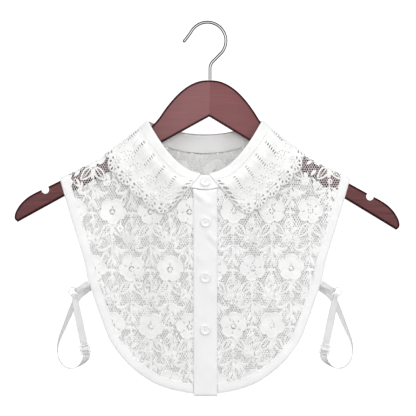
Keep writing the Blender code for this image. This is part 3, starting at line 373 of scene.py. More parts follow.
# %% Sizes of the body, in millimetres
GARMENT_X = -5.75
CLOTH = 1.2
BINDING_WIDTH = 10.8
ROUND_OUT = 7.8
ROUND_DROP = 5.0
NECK_WIDTH = 80.0
NECK_SIDE = -125.4
SPREAD_LOW, SPREAD_MORE, SPREAD_FADE = 125.0, 300.0, 28.0
SHOULDER_LINE = [
    # half width, height of the cloth
    (0, -70), (40, -95.5), (66, -113.4), (80, -125.4), (90.5, -134.0), (103.5, -144.0),
    (114, -151.1), (130, -159.7), (148, -168.8), (170, -180.0),
]
SIDE_AND_HEM = [
    # half width, height, from the middle of the hem round to the shoulder
    (0, -423.5), (11.6, -423.0), (28.8, -420.4), (44, -416.8), (60, -410.4), (75.3, -400.6),
    (87.8, -390.2), (100, -376), (109.3, -362), (117, -343), (123, -326.4), (128.5, -310),
    (134.4, -292.3), (139, -269.7), (150, -234), (160.5, -198.8), (166.5, -177.9),
]
FRONT = {"sign": -1, "neck_drop": 65.6, "swell": 38.5, "reach": 52.0, "fade": 230.0,
         "fold_drop": 62.3, "fold_out": 36.0}
BACK = {"sign": 1, "neck_drop": 22.6, "swell": 19.5, "reach": 30.0, "fade": 260.0,
        "fold_drop": 15.0, "fold_out": 22.0}
FRONT_FOLDS = [
    # from u, from height, to u, to height, height of the ridge, half width
    (-91, -188, -96, -296, -2.6, 10),
    (-118, -212, -121, -304, 2.0, 12),
    (-122, -292, -92, -248, -2.2, 6),
    (-46, -222, -60, -402, 3.0, 17),
    (-70, -296, -80, -392, -2.2, 10),
    (62, -250, 71, -306, -2.6, 8),
    (74, -332, 99, -374, -2.2, 8),
    (38, -226, 50, -404, 2.6, 16),
    (106, -212, 113, -304, 2.2, 12),
    (-132, -236, -104, -222, 0.8, 5),
    (128, -300, 96, -276, -0.9, 5),
    (-96, -350, -66, -338, 0.7, 6),
    (24, -372, 66, -384, 0.8, 6),
    (-34, -300, -28, -352, -0.9, 6),
    (88, -196, 104, -236, -0.9, 6),
]
BACK_FOLDS = [
    # from u, from height, to u, to height, height of the ridge, half width
    (-60, -200, -74, -392, 3.0, 15),
    (-24, -186, -31, -384, -2.5, 12),
    (20, -186, 30, -402, 2.6, 14),
    (62, -206, 76, -372, -2.6, 10),
    (108, -196, 113, -312, 2.0, 12),
    (-112, -200, -117, -300, -2.0, 10),
    (-128, -276, -92, -262, 0.9, 6),
    (126, -290, 90, -270, -0.8, 6),
    (-48, -360, -8, -372, 0.8, 7),
    (44, -330, 86, -342, -0.8, 6),
]


# %% Helpers for smooth lines and the surface
def smooth_step(start, end, value):
    t = np.clip((np.asarray(value, float) - start) / (end - start), 0.0, 1.0)
    return t * t * (3.0 - 2.0 * t)


def smooth_curve(points, each=24):
    """A smooth line through the points, with each span cut into short steps."""
    points = np.asarray(points, float)
    padded = np.vstack([2 * points[0] - points[1], points, 2 * points[-1] - points[-2]])
    steps = np.linspace(0, 1, each, endpoint=False)[:, None]
    spans = []
    for before, start, end, after in zip(padded, padded[1:], padded[2:], padded[3:]):
        linear = (end - before) * steps
        square = (2 * before - 5 * start + 4 * end - after) * steps**2
        cube = (3 * start - before - 3 * end + after) * steps**3
        spans.append(start + 0.5 * (linear + square + cube))
    spans.append(points[-1:])
    return np.vstack(spans)


def lengths_along(points):
    steps = np.linalg.norm(np.diff(points, axis=0), axis=1)
    return np.concatenate([[0.0], np.cumsum(steps)])


def point_at(points, lengths, wanted):
    return np.stack([np.interp(wanted, lengths, points[:, k]) for k in range(points.shape[1])], -1)


SHOULDER_CURVE = smooth_curve(SHOULDER_LINE)
OUTLINE = smooth_curve(SIDE_AND_HEM)
OUTLINE_LENGTHS = lengths_along(OUTLINE)
OUTLINE_LENGTH = OUTLINE_LENGTHS[-1]


def shoulder(u):
    return np.interp(np.abs(u), SHOULDER_CURVE[:, 0], SHOULDER_CURVE[:, 1])


def neck_height(u, side):
    return NECK_SIDE - side["neck_drop"] * (1 - (np.asarray(u) / NECK_WIDTH) ** 2)


def fold_waves(u, height, rows):
    total = np.zeros(np.broadcast(u, height).shape)
    for start_u, start_height, end_u, end_height, ridge, half_width in rows:
        along_u, along_height = end_u - start_u, end_height - start_height
        length = math.hypot(along_u, along_height)
        from_u, from_height = u - start_u, height - start_height
        along = (from_u * along_u + from_height * along_height) / length**2
        across = (from_u * along_height - from_height * along_u) / length
        fade = smooth_step(-0.12, 0.25, along) * smooth_step(1.12, 0.75, along)
        total += ridge * fade * np.exp(-((across / half_width) ** 2))
    return total


def depth(u, drop, side):
    """How far the cloth lies in front of, or behind, the middle of the hanger."""
    height = shoulder(u) - drop
    turned = np.clip(drop / ROUND_DROP, 0.0, 1.0)
    over_board = ROUND_OUT * np.sqrt(1 - (1 - turned) ** 2)
    below_neck = np.maximum(neck_height(u, side) - height, 0.0)
    spread = SPREAD_LOW + SPREAD_MORE * np.exp((height - NECK_SIDE) / SPREAD_FADE)
    across = np.cos(np.clip(np.abs(u) / spread, 0, 1) * math.pi / 2) ** 2
    swell = side["swell"] * (1 - np.exp(-drop / side["reach"]))
    swell = swell * np.exp(-below_neck / side["fade"]) * across
    rows = FRONT_FOLDS if side is FRONT else BACK_FOLDS
    return 0.15 + over_board + swell + fold_waves(u, height, rows)


def body_point(u, drop, side):
    u, drop = np.broadcast_arrays(np.asarray(u, float), np.asarray(drop, float))
    return np.stack([u + GARMENT_X, side["sign"] * depth(u, drop, side), shoulder(u) - drop], -1)


def body_normal(u, drop, side):
    across = body_point(u + 0.05, drop, side) - body_point(u - 0.05, drop, side)
    down = body_point(u, drop + 0.001, side) - body_point(u, drop, side)
    normal = np.cross(across, down) * side["sign"]
    return normal / np.linalg.norm(normal, axis=-1, keepdims=True)


def edge_point(length, inset):
    """A point this far inside the outline of the side and hem, at this length along it."""
    here = point_at(OUTLINE, OUTLINE_LENGTHS, length)
    ahead = point_at(OUTLINE, OUTLINE_LENGTHS, np.minimum(length + 1.0, OUTLINE_LENGTH))
    behind = point_at(OUTLINE, OUTLINE_LENGTHS, np.maximum(length - 1.0, 0.0))
    along = ahead - behind
    along /= np.linalg.norm(along, axis=-1, keepdims=True)
    inward = np.stack([-along[..., 1], along[..., 0]], -1)
    tip = OUTLINE[-1]
    step = tip[0] - 10.0
    down_shoulder = np.array([step - tip[0], shoulder(step) - shoulder(tip[0])])
    down_shoulder /= np.linalg.norm(down_shoulder)
    near_tip = smooth_step(OUTLINE_LENGTH - 30, OUTLINE_LENGTH, length)[..., None]
    inward = inward * (1 - near_tip) + down_shoulder * near_tip
    inward /= np.linalg.norm(inward, axis=-1, keepdims=True)
    point = here + inward * inset
    height = np.minimum(point[..., 1], shoulder(point[..., 0]))
    return np.stack([point[..., 0], height], -1)


# %% Laying a flat pattern on the body
# Near the shoulder the cloth rolls over the board, so a flat pattern is laid on by length along the
# cloth and not by height. ROLL_EXTRA is what the roll takes up.
roll_drops = ROUND_DROP * (1 - np.cos(np.linspace(0, math.pi / 2, 60)))
roll_depths = ROUND_OUT * np.sin(np.linspace(0, math.pi / 2, 60))
roll_lengths = lengths_along(np.stack([roll_drops, roll_depths], 1))
ROLL_EXTRA = roll_lengths[-1] - ROUND_DROP


def drop_at(length):
    """How far below the shoulder line the cloth has come after this length."""
    rolled = np.interp(length, roll_lengths, roll_drops)
    return np.where(length > roll_lengths[-1], length - ROLL_EXTRA, rolled)


def lay_on_body(u, v, out, side):
    """Points of a flat pattern (u across, v down from zero like a height) on the cloth."""
    drop = drop_at(np.maximum(shoulder(u) - v, 0.0))
    return body_point(u, drop, side) + body_normal(u, drop, side) * np.asarray(out)[..., None]


print("cloth taken up by the roll:", round(float(ROLL_EXTRA), 2), "mm")


# %% Making a piece from points
def make_piece(name, points, faces, material, nodes=(), uv=None):
    """A smooth-shaded mesh from points in millimetres, riding on the garment's one body."""
    mesh = bpy.data.meshes.new(name)
    mesh.from_pydata((np.asarray(points, float) * MM).tolist(), [], [tuple(map(int, f)) for f in faces])
    mesh.materials.append(material)
    if uv is not None:
        layer = mesh.uv_layers.new(name="cloth")
        corner = np.zeros(len(mesh.loops), np.int32)
        mesh.loops.foreach_get("vertex_index", corner)
        layer.data.foreach_set("uv", (np.asarray(uv, float) * MM)[corner].astype(np.float32).ravel())
    mesh.shade_smooth()
    piece = bpy.data.objects.new(name, mesh)
    bpy.context.scene.collection.objects.link(piece)
    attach(piece, "root")
    if nodes:
        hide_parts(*nodes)
    return piece


def triangles_of(piece):
    piece.data.calc_loop_triangles()
    return len(piece.data.loop_triangles)


def apply_modifier(piece, kind, **settings):
    """Adds one modifier and applies it, as the Modifiers tab does."""
    bpy.ops.object.select_all(action="DESELECT")
    bpy.context.view_layer.objects.active = piece
    piece.select_set(True)
    modifier = piece.modifiers.new(kind.lower(), kind)
    for setting, value in settings.items():
        setattr(modifier, setting, value)
    bpy.ops.object.modifier_apply(modifier=modifier.name)
    piece.select_set(False)


# %% [markdown]
# ## The floral lace
#
# The body's lace is a fine net of tall six-sided holes with a pattern worked on it: round five-petal
# flowers with an open ring at the heart, leaves whose middles show the net, buds, trefoils and curling
# stems. The net is real geometry, one thread between each two holes, so that wood and back lace show
# through it. Where a flower is solid the net is left out, as on the real lace, where it is filled.

# %% Motifs of the pattern
# Each motif is a few flat patches. A patch is its points (across, up), their heights above the net, and
# its faces, drawn anticlockwise.


def blob(outline, low=0.12, high=0.55, rings=(0.5, 0.85, 1.0)):
    """A filled shape, raised in the middle."""
    outline = np.asarray(outline, float)
    centre = outline.mean(axis=0)
    count = len(outline)
    points, heights = [centre], [high]
    for ring in rings:
        points.extend(centre + (outline - centre) * ring)
        heights.extend([low + (high - low) * (1 - ring**2.5)] * count)
    faces = [(0, 1 + i, 1 + (i + 1) % count) for i in range(count)]
    for ring in range(len(rings) - 1):
        inner, outer = 1 + ring * count, 1 + (ring + 1) * count
        for i in range(count):
            after = (i + 1) % count
            faces.append((inner + i, outer + i, outer + after, inner + after))
    return [(np.array(points), np.array(heights), faces)], [outline]


def ribbon_patch(line, widths, low=0.15, high=0.6):
    """A raised band along a line, such as a stem or the outline of a leaf."""
    line = np.asarray(line, float)
    widths = np.broadcast_to(np.asarray(widths, float), (len(line),))
    along = np.gradient(line, axis=0)
    along /= np.maximum(np.linalg.norm(along, axis=1, keepdims=True), 1e-9)
    left = np.stack([-along[:, 1], along[:, 0]], 1)
    points = np.concatenate([line + left * widths[:, None] / 2, line, line - left * widths[:, None] / 2])
    count = len(line)
    heights = np.concatenate([np.full(count, low), np.full(count, high), np.full(count, low)])
    faces = []
    for row in (0, count):
        for i in range(count - 1):
            faces.append((row + i, row + count + i, row + count + i + 1, row + i + 1))
    return [(points, heights, faces)], []


def leaf_sides(length, width, bend, steps):
    """The two sides of a leaf that grows up from zero and bends to one side."""
    s = np.linspace(0, 1, steps)
    middle = np.stack([bend * length * s**2, length * s], 1)
    along = np.gradient(middle, axis=0)
    along /= np.linalg.norm(along, axis=1, keepdims=True)
    across = np.stack([along[:, 1], -along[:, 0]], 1)
    half = width / 2 * np.sin(math.pi * s**0.85) ** 0.8
    half[-1] = 0.0
    return middle, middle + across * half[:, None], middle - across * half[:, None]


def full_leaf(size, bend=0.18):
    middle, right, left = leaf_sides(size, size * 0.46, bend, 9)
    return blob(np.vstack([right[:-1], left[:0:-1]]), rings=(0.55, 1.0))


def open_leaf(size, bend=0.2):
    """A leaf with a solid rim and vein, and net in between."""
    middle, right, left = leaf_sides(size, size * 0.5, bend, 11)
    rim = np.vstack([right[:-1], left[:0:-1], right[:2]])
    patches, _ = ribbon_patch(rim, size * 0.115)
    vein, _ = ribbon_patch(middle[:-2], np.linspace(size * 0.1, size * 0.05, 9))
    return patches + vein, []


def half_leaf(size, bend=-0.2):
    """A leaf that is solid on one side of its vein only."""
    middle, right, left = leaf_sides(size, size * 0.56, bend, 10)
    solid, mask = blob(np.vstack([middle[:-1], left[:0:-1]]), rings=(0.6, 1.0))
    rim, _ = ribbon_patch(right, size * 0.1)
    return solid + rim, mask


def crescent(size, bend=0.62):
    """A curved band that is wide in its middle, like the side of a cup."""
    s = np.linspace(0, 1, 11)
    line = np.stack([bend * size * np.sin(math.pi * 0.72 * s), size * s], 1)
    return ribbon_patch(line, size * 0.05 + size * 0.2 * np.sin(math.pi * s) ** 0.8, 0.12, 0.7)


def round_spot(size, ring=False):
    angles = np.linspace(0, 2 * math.pi, 12, endpoint=False)
    circle = np.stack([np.cos(angles), np.sin(angles)], 1) * size / 2
    if not ring:
        return blob(circle, rings=(0.6, 1.0))
    closed = np.vstack([circle, circle[:2]]) * 0.8
    return ribbon_patch(closed, size * 0.26)


def ring_spot(size):
    return round_spot(size, ring=True)


def trefoil(size):
    """Three small petals round a stem's end."""
    patches, masks = [], []
    for turn in (-68, 0, 68):
        parts, outline = full_leaf(size, 0.0)
        moved, cut = turn_patches(parts, outline, 0.0, 0.0, turn, 1)
        patches += moved
        masks += cut
    return patches, masks


def bud(size):
    """A closed flower: two sepals round a solid heart."""
    patches, masks = full_leaf(size, 0.0)
    for side in (-1, 1):
        parts, outline = crescent(size * 0.9, 0.5)
        moved, cut = turn_patches(parts, outline, 0.0, -size * 0.12, 0.0, side)
        patches += moved
        masks += cut
    return patches, masks


def turn_patches(patches, masks, u, v, turn, flip):
    """Patches turned anticlockwise by degrees, mirrored where flip is -1, and moved."""
    cosine, sine = math.cos(math.radians(turn)), math.sin(math.radians(turn))

    def place(points):
        points = np.asarray(points, float) * [flip, 1]
        across = points[:, 0] * cosine - points[:, 1] * sine + u
        up = points[:, 0] * sine + points[:, 1] * cosine + v
        return np.stack([across, up], 1)

    moved = []
    for points, heights, faces in patches:
        if flip < 0:
            faces = [tuple(reversed(face)) for face in faces]
        moved.append((place(points), heights, faces))
    return moved, [place(mask) for mask in masks]


# %% The flower
PETALS = 5
FLOWER_ANGLES = 60
HEART_RADIUS = 3.4
HEART_DOT = 2.1


def flower(size, turn=0.0):
    """Five broad petals in one piece, an open ring at the heart and a short slit above it."""
    angles = np.linspace(0, 2 * math.pi, FLOWER_ANGLES, endpoint=False)
    phase = ((angles + math.radians(turn)) * PETALS / (2 * math.pi)) % 1.0
    notch = np.abs(phase - 0.5) * 2
    frill = 0.02 * np.sin(angles * 17 + turn)
    outer = size / 2 * (1 - 0.25 * notch**4 + frill + 0.05 * np.sin(angles))
    radii = [np.full(FLOWER_ANGLES, HEART_RADIUS)]
    for share in (0.3, 0.62, 0.84, 0.92, 0.97, 1.0):
        radii.append(HEART_RADIUS + (outer - HEART_RADIUS) * share)
    between = notch**4
    profile = [(0.4, 0.0), (0.45, 0.2), (0.62, 0.4), (0.42, 0.2), (0.85, 0.25), (0.8, 0.25), (0.12, 0.05)]
    points, heights = [], []
    for radius, (rise, dip) in zip(radii, profile):
        points.extend(np.stack([radius * np.cos(angles), radius * np.sin(angles)], 1))
        heights.extend(rise - dip * between)
    faces = []
    slit = {FLOWER_ANGLES // 4 - 1, FLOWER_ANGLES // 4}
    for ring in range(len(radii) - 1):
        for i in range(FLOWER_ANGLES):
            parting = ring == 1 and notch[i] > 0.93
            if parting or (ring == 0 and i in slit):
                continue
            after = (i + 1) % FLOWER_ANGLES
            inner, outside = ring * FLOWER_ANGLES, (ring + 1) * FLOWER_ANGLES
            faces.append((inner + i, outside + i, outside + after, inner + after))
    patches = [(np.array(points), np.array(heights), faces)]
    dot, _ = round_spot(HEART_DOT * 2)
    patches += dot
    for start, end in ((200, 0), (340, 0), (90, 0)):
        spoke_turn = math.radians(start)
        direction = np.array([math.cos(spoke_turn), math.sin(spoke_turn)])
        spoke, _ = ribbon_patch([direction * HEART_DOT * 0.8, direction * (HEART_RADIUS + 0.4)], 0.6, 0.2, 0.4)
        patches += spoke
    outline = np.stack([outer * np.cos(angles), outer * np.sin(angles)], 1)
    return patches, [outline]


# %% The repeat of the pattern
# One repeat is a flower, the leaves that hang below it, and a chain of small motifs that runs down
# between the flowers of the next row. Every other row is moved along by half.
REPEAT_WIDE = 44.2
REPEAT_TALL = 65.5
FLOWER_SIZE = 31.0
MOTIFS = [
    # kind, across, up, turn, flip, size
    (open_leaf, -2.5, -14.5, 152, 1, 17.7),
    (open_leaf, 2.5, -14.5, -152, -1, 17.7),
    (full_leaf, 0.0, -16.5, 180, 1, 11.7),
    (crescent, -1.0, -38.0, 74, -1, 15.7),
    (crescent, 1.0, -38.0, -74, 1, 15.7),
    (half_leaf, -1.0, -38.5, 168, 1, 14.4),
    (ring_spot, 0.5, -31.5, 0, 1, 5.7),
    (trefoil, -13.5, -37.5, 62, 1, 7.2),
    (bud, 13.0, -34.0, -48, 1, 8.6),
    (full_leaf, 3.5, -42.0, -172, -1, 11.1),
    (full_leaf, -15.5, -18.5, 128, -1, 9.1),
    (full_leaf, 15.0, -21.0, -150, 1, 9.8),
    (half_leaf, 0.4, -51.5, 158, -1, 11.9),
    (full_leaf, 0.0, -53.0, -152, 1, 9.8),
    (trefoil, -0.5, -66.0, 176, 1, 7.0),
    (ring_spot, 3.6, -60.5, 0, 1, 4.8),
    (open_leaf, 0.0, -76.0, 150, 1, 12.0),
    (open_leaf, 0.5, -77.0, -154, -1, 11.4),
    (round_spot, 0.0, -74.5, 0, 1, 4.5),
    (bud, 0.0, -92.0, 176, 1, 8.9),
    (full_leaf, -4.5, -92.5, 30, 1, 7.8),
    (full_leaf, 4.4, -99.5, -26, -1, 8.3),
    (ring_spot, -3.8, -103.0, 0, 1, 4.6),
    (round_spot, 19.0, -31.0, 0, 1, 4.2),
    (round_spot, -8.2, -47.5, 0, 1, 4.0),
    (half_leaf, -20.5, -27.0, 196, 1, 11.0),
    (full_leaf, 11.0, -50.0, 24, -1, 9.0),
    (half_leaf, -12.0, -57.0, -28, 1, 10.5),
    (full_leaf, 17.5, -12.0, -52, 1, 8.0),
]
STEMS = [
    # points (across, up), width
    ([(0, -14), (0.4, -26), (-0.4, -38)], 1.2),
    ([(-0.4, -38), (-6, -40.5), (-13.5, -37.5)], 1.1),
    ([(-0.4, -38), (6.5, -39.5), (13, -34)], 1.1),
    ([(-0.4, -38), (1.4, -46), (0.4, -54), (-1.6, -63), (0, -74)], 1.2),
    ([(0, -74), (1.2, -83), (-0.4, -92)], 1.1),
    ([(0, -98), (2.6, -104), (1.0, -112)], 1.1),
    ([(13, -34), (18.5, -27), (19, -20)], 1.0),
]


def one_repeat(lean):
    """Patches and solid outlines of one repeat round zero; lean turns its flower a little."""
    patches, masks = flower(FLOWER_SIZE, lean * 7)
    for kind, across, up, turn, flip, size in MOTIFS:
        parts, outlines = kind(size)
        moved, cut = turn_patches(parts, outlines, across, up, turn + lean * 0.6, flip)
        patches += moved
        masks += cut
    for points, width in STEMS:
        parts, _ = ribbon_patch(smooth_curve(points, 5), width)
        patches += parts
    return patches, masks


sample_patches, sample_masks = one_repeat(0)
print("patches in one repeat:", len(sample_patches), "of them solid:", len(sample_masks))


# %% The net
NET_WIDE = 2.7
NET_STEP = 2.5
NET_POINT = 1.87
NET_HOLE_FRONT, NET_HOLE_BACK, NET_HOLE_SHOULDER = 0.74, 0.52, 0.87
HEXAGON = np.array(
    [
        (0, -NET_POINT), (NET_WIDE / 2, -(NET_STEP - NET_POINT)), (NET_WIDE / 2, NET_STEP - NET_POINT),
        (0, NET_POINT), (-NET_WIDE / 2, NET_STEP - NET_POINT), (-NET_WIDE / 2, -(NET_STEP - NET_POINT)),
    ]
)


def inside_shape(points, outline):
    """Which points lie inside a closed outline."""
    low, high = outline.min(axis=0), outline.max(axis=0)
    near = np.all((points > low) & (points < high), axis=1)
    found = np.zeros(len(points), bool)
    x, y = points[near, 0], points[near, 1]
    crossed = np.zeros(len(x), bool)
    for (ax, ay), (bx, by) in zip(outline, np.roll(outline, -1, axis=0)):
        if ay == by:
            continue
        spans = (ay > y) != (by > y)
        crossed ^= spans & (x < (bx - ax) * (y - ay) / (by - ay) + ax)
    found[near] = crossed
    return found


def body_outline(inset):
    """The whole outline of one layer of the body at this inset, open to the top."""
    line = edge_point(np.linspace(0, OUTLINE_LENGTH, 260), inset)
    right = np.vstack([line, [[line[-1, 0], 0.0]]])
    return np.vstack([right, right[::-1] * [-1, 1]])


NET_EDGE = body_outline(BINDING_WIDTH - 3.0)
MOTIF_EDGE = body_outline(BINDING_WIDTH - 5.0)


def in_panel(points, side, low_u, high_u, edge):
    """Which points of the flat pattern lie in a panel."""
    u, v = points[:, 0], points[:, 1]
    length = shoulder(u) - v
    height = shoulder(u) - drop_at(np.maximum(length, 0.0))
    seam = np.where(np.abs(u) < NECK_WIDTH, neck_height(u, side), 0.0)
    kept = (length > 0.3) & (height < seam - 1.0) & (u > low_u) & (u < high_u)
    return kept & inside_shape(np.stack([u, height], 1), edge)


def net_patch(side, low_u, high_u, masks):
    """The threads between the holes, left out under the solid parts of the pattern."""
    columns = np.arange(math.floor(low_u / NET_WIDE) - 1, math.ceil(high_u / NET_WIDE) + 2)
    rows = np.arange(-math.ceil(435 / NET_STEP), -math.floor(110 / NET_STEP))
    grid_i, grid_j = np.meshgrid(columns, rows, indexing="ij")
    centres = np.stack([(grid_i + 0.5 * (grid_j % 2)) * NET_WIDE, grid_j * NET_STEP], -1).reshape(-1, 2)
    centres = centres[in_panel(centres, side, low_u, high_u, NET_EDGE)]
    solid = np.zeros(len(centres), bool)
    for mask in masks:
        middle = mask.mean(axis=0)
        reach = np.linalg.norm(mask - middle, axis=1).mean()
        solid |= inside_shape(centres, middle + (mask - middle) * max(0.0, 1 - 0.9 / reach))
    centres = centres[~solid]
    corners = centres[:, None, :] + HEXAGON[None]
    keys = np.round(corners.reshape(-1, 2) * 100).astype(np.int64)
    shared, index = np.unique(keys, axis=0, return_inverse=True)
    index = index.reshape(-1, 6)
    stretched = smooth_step(42, 26, shoulder(centres[:, 0]) - centres[:, 1])
    hole = NET_HOLE_FRONT if side is FRONT else NET_HOLE_BACK
    hole = hole + (NET_HOLE_SHOULDER - hole) * stretched * (np.abs(centres[:, 0]) > 70)
    inner = centres[:, None, :] + HEXAGON[None] * hole[:, None, None]
    points = np.concatenate([shared / 100.0, inner.reshape(-1, 2)])
    start = len(shared) + np.arange(len(centres))[:, None] * 6 + np.arange(6)[None]
    after = np.roll(np.arange(6), -1)
    faces = np.stack([index, index[:, after], start[:, after], start], -1).reshape(-1, 4)
    return points, np.zeros(len(points)), faces


# %% Laying the pattern on a panel
def pattern_for(side, low_u, high_u, origins):
    """All the repeats that reach into a panel."""
    patches, masks = [], []
    for number, (u, v) in enumerate(origins):
        lean = (number * 37 % 11) - 5
        parts, outlines = one_repeat(lean)
        moved, cut = turn_patches(parts, outlines, u, v - ROLL_EXTRA, 0, 1)
        patches += moved
        masks += cut
    reaching = []
    for patch in patches:
        u, v = patch[0].mean(axis=0)
        if low_u - 20 < u < high_u + 20 and abs(u) < 180 and -445 < v < shoulder(u) + 12:
            reaching.append(patch)
    inside = in_panel(np.concatenate([patch[0] for patch in reaching]), side, low_u, high_u, MOTIF_EDGE)
    kept, start = [], 0
    for points, heights, faces in reaching:
        here = inside[start : start + len(points)]
        start += len(points)
        faces = [face for face in faces if all(here[k] for k in face)]
        if faces:
            kept.append((points, heights, faces))
    return kept, masks


def lattice(first_u, first_v, rows, columns):
    """Flower centres: rows go down, and every other row is moved along by half a repeat."""
    places = []
    for row in range(rows):
        for column in range(columns):
            u = first_u + (column + 0.5 * (row % 2)) * REPEAT_WIDE
            places.append((u, first_v - row * REPEAT_TALL))
    return places


def lace_panel(name, side, low_u, high_u, origins, nodes):
    """One panel of lace: the net and the pattern on it, laid on the body's form."""
    patches, masks = pattern_for(side, low_u, high_u, origins)
    net = net_patch(side, low_u, high_u, masks)
    points, heights, faces, start = [], [], [], 0
    for patch_points, patch_heights, patch_faces in [net, *patches]:
        points.append(patch_points)
        heights.append(patch_heights)
        faces += [[start + k for k in face] for face in patch_faces]
        start += len(patch_points)
    flat = np.concatenate(points)
    out = np.concatenate(heights)
    laid = lay_on_body(flat[:, 0], flat[:, 1], out, side)
    if side is BACK:
        faces = [face[::-1] for face in faces]
    piece = make_piece(name, laid, faces, lace_finish, nodes, uv=flat)
    clean = bmesh.new()
    clean.from_mesh(piece.data)
    bmesh.ops.delete(clean, geom=[v for v in clean.verts if not v.link_faces], context="VERTS")
    clean.to_mesh(piece.data)
    clean.free()
    print(name, "triangles:", triangles_of(piece), "net holes:", len(net[2]) // 6)
    return piece


# %% The three panels of lace
LEFT_PANEL_END = -9.0
RIGHT_PANEL_START = 10.0
left_lace = lace_panel(
    "front_lace_left", FRONT, -170.0, LEFT_PANEL_END,
    lattice(-172.2, -150.5, 5, 5), ["front_panel_left"],
)
right_lace = lace_panel(
    "front_lace_right", FRONT, RIGHT_PANEL_START, 170.0,
    lattice(-34.0, -149.5, 5, 5), ["front_panel_right"],
)
back_lace = lace_panel(
    "back_lace", BACK, -170.0, 170.0, lattice(-186.0, -104.0, 6, 9), ["back_panel"],
)

# %% [markdown]
# ## Edgings, placket and stand
#
# A folded cotton strip closes the raw edge of the lace all round the sides and hem, sewn down along its
# inner edge. The placket is a straight double strip over the closing, with soft creases from wear, and
# the stand is a low upright band round the neck. All three follow the body's form, moved outwards by
# what lies under them. Their stitches are tiny separate grains of thread, a few faces each.


# %% Walls and stitches
def folded_strip(rings):
    """Faces of a folded strip from equal rings of points, open along its sewn edge, its ends closed."""
    rings = np.asarray(rings, float)
    rows, around = rings.shape[:2]
    faces = []
    for i in range(rows - 1):
        for j in range(around - 1):
            faces.append((i * around + j, i * around + j + 1, (i + 1) * around + j + 1, (i + 1) * around + j))
    faces.append(tuple(range(around))[::-1])
    faces.append(tuple((rows - 1) * around + j for j in range(around)))
    return rings.reshape(-1, 3), faces


def closed_wall(outer, inner):
    """Faces of a wall between two matching grids of points."""
    rows, columns = outer.shape[:2]
    behind = rows * columns
    grid = np.arange(behind).reshape(rows, columns)
    quads = np.stack([grid[:-1, :-1], grid[1:, :-1], grid[1:, 1:], grid[:-1, 1:]], -1).reshape(-1, 4)
    faces = quads.tolist() + (quads[:, ::-1] + behind).tolist()
    rim = [*grid[:, 0], *grid[-1, 1:], *grid[-2::-1, -1], *grid[0, -2:0:-1]]
    for here, there in zip(rim, rim[1:] + rim[:1]):
        faces.append([here, behind + here, behind + there, there])
    return np.concatenate([outer.reshape(-1, 3), inner.reshape(-1, 3)]), faces


def turn_outwards(piece):
    """Recalculates a closed piece's normals so that its faces point outwards."""
    shape = bmesh.new()
    shape.from_mesh(piece.data)
    bmesh.ops.remove_doubles(shape, verts=shape.verts, dist=2e-6)
    bmesh.ops.recalc_face_normals(shape, faces=shape.faces)
    shape.to_mesh(piece.data)
    shape.free()
    piece.data.shade_smooth()


STITCH_PITCH = 2.7
STITCH_LONG = 2.0
STITCH_WIDE = 0.42
STITCH_HIGH = 0.26


def stitch_grains(line, normals, pitch=STITCH_PITCH, long=STITCH_LONG):
    """Small eight-sided grains of thread at equal steps along a line that lies on the cloth."""
    line, normals = np.asarray(line, float), np.asarray(normals, float)
    lengths = lengths_along(line)
    places = np.arange(pitch, lengths[-1] - pitch / 2, pitch)
    centres = point_at(line, lengths, places)
    up = point_at(normals, lengths, places)
    ahead = point_at(line, lengths, places + 0.4) - point_at(line, lengths, places - 0.4)
    ahead /= np.linalg.norm(ahead, axis=1, keepdims=True)
    side = np.cross(ahead, up)
    side /= np.linalg.norm(side, axis=1, keepdims=True)
    corners = np.stack(
        [
            centres + ahead * long / 2 - up * 0.06,
            centres + side * STITCH_WIDE / 2,
            centres - ahead * long / 2 - up * 0.06,
            centres - side * STITCH_WIDE / 2,
            centres + up * STITCH_HIGH,
            centres - up * STITCH_HIGH,
        ],
        1,
    )
    pattern = np.array([(0, 4, 1), (1, 4, 2), (2, 4, 3), (3, 4, 0), (1, 5, 0), (2, 5, 1), (3, 5, 2), (0, 5, 3)])
    faces = (np.arange(len(places))[:, None, None] * 6 + pattern[None]).reshape(-1, 3)
    return corners.reshape(-1, 3), faces


def stitch_piece(name, rows):
    """One piece for several rows of stitches."""
    points, faces, start = [], [], 0
    for row_points, row_faces in rows:
        points.append(row_points)
        faces.append(np.asarray(row_faces) + start)
        start += len(row_points)
    piece = make_piece(name, np.concatenate(points), np.concatenate(faces), stitch_finish)
    turn_outwards(piece)
    return piece


# %% The edge binding
BINDING_SECTION = [
    # inset from the edge, height above the middle of the cloth
    (10.8, 0.1), (10.75, 0.6), (10.4, 0.92), (9.6, 0.8), (8.0, 1.12), (4.5, 1.25), (1.6, 1.1), (0.4, 0.75),
    (0.0, 0.1), (0.3, -0.45), (1.6, -0.72), (5.5, -0.8), (9.4, -0.7), (10.5, -0.45), (10.7, -0.1),
]
PLACKET_LEFT, PLACKET_RIGHT = -12.7, 13.8


def length_at(u, inset):
    lengths = np.linspace(0, OUTLINE_LENGTH, 1500)
    return float(np.interp(u, edge_point(lengths, inset)[:, 0], lengths))


def binding_lengths(start):
    near_tip = OUTLINE_LENGTH - np.array([14.0, 11.0, 8.5, 6.5, 5.0, 3.8, 2.8, 1.9, 1.2, 0.6, 0.2, 0.0])
    return np.concatenate([np.arange(start, near_tip[0] - 1.5, 3.1), near_tip])


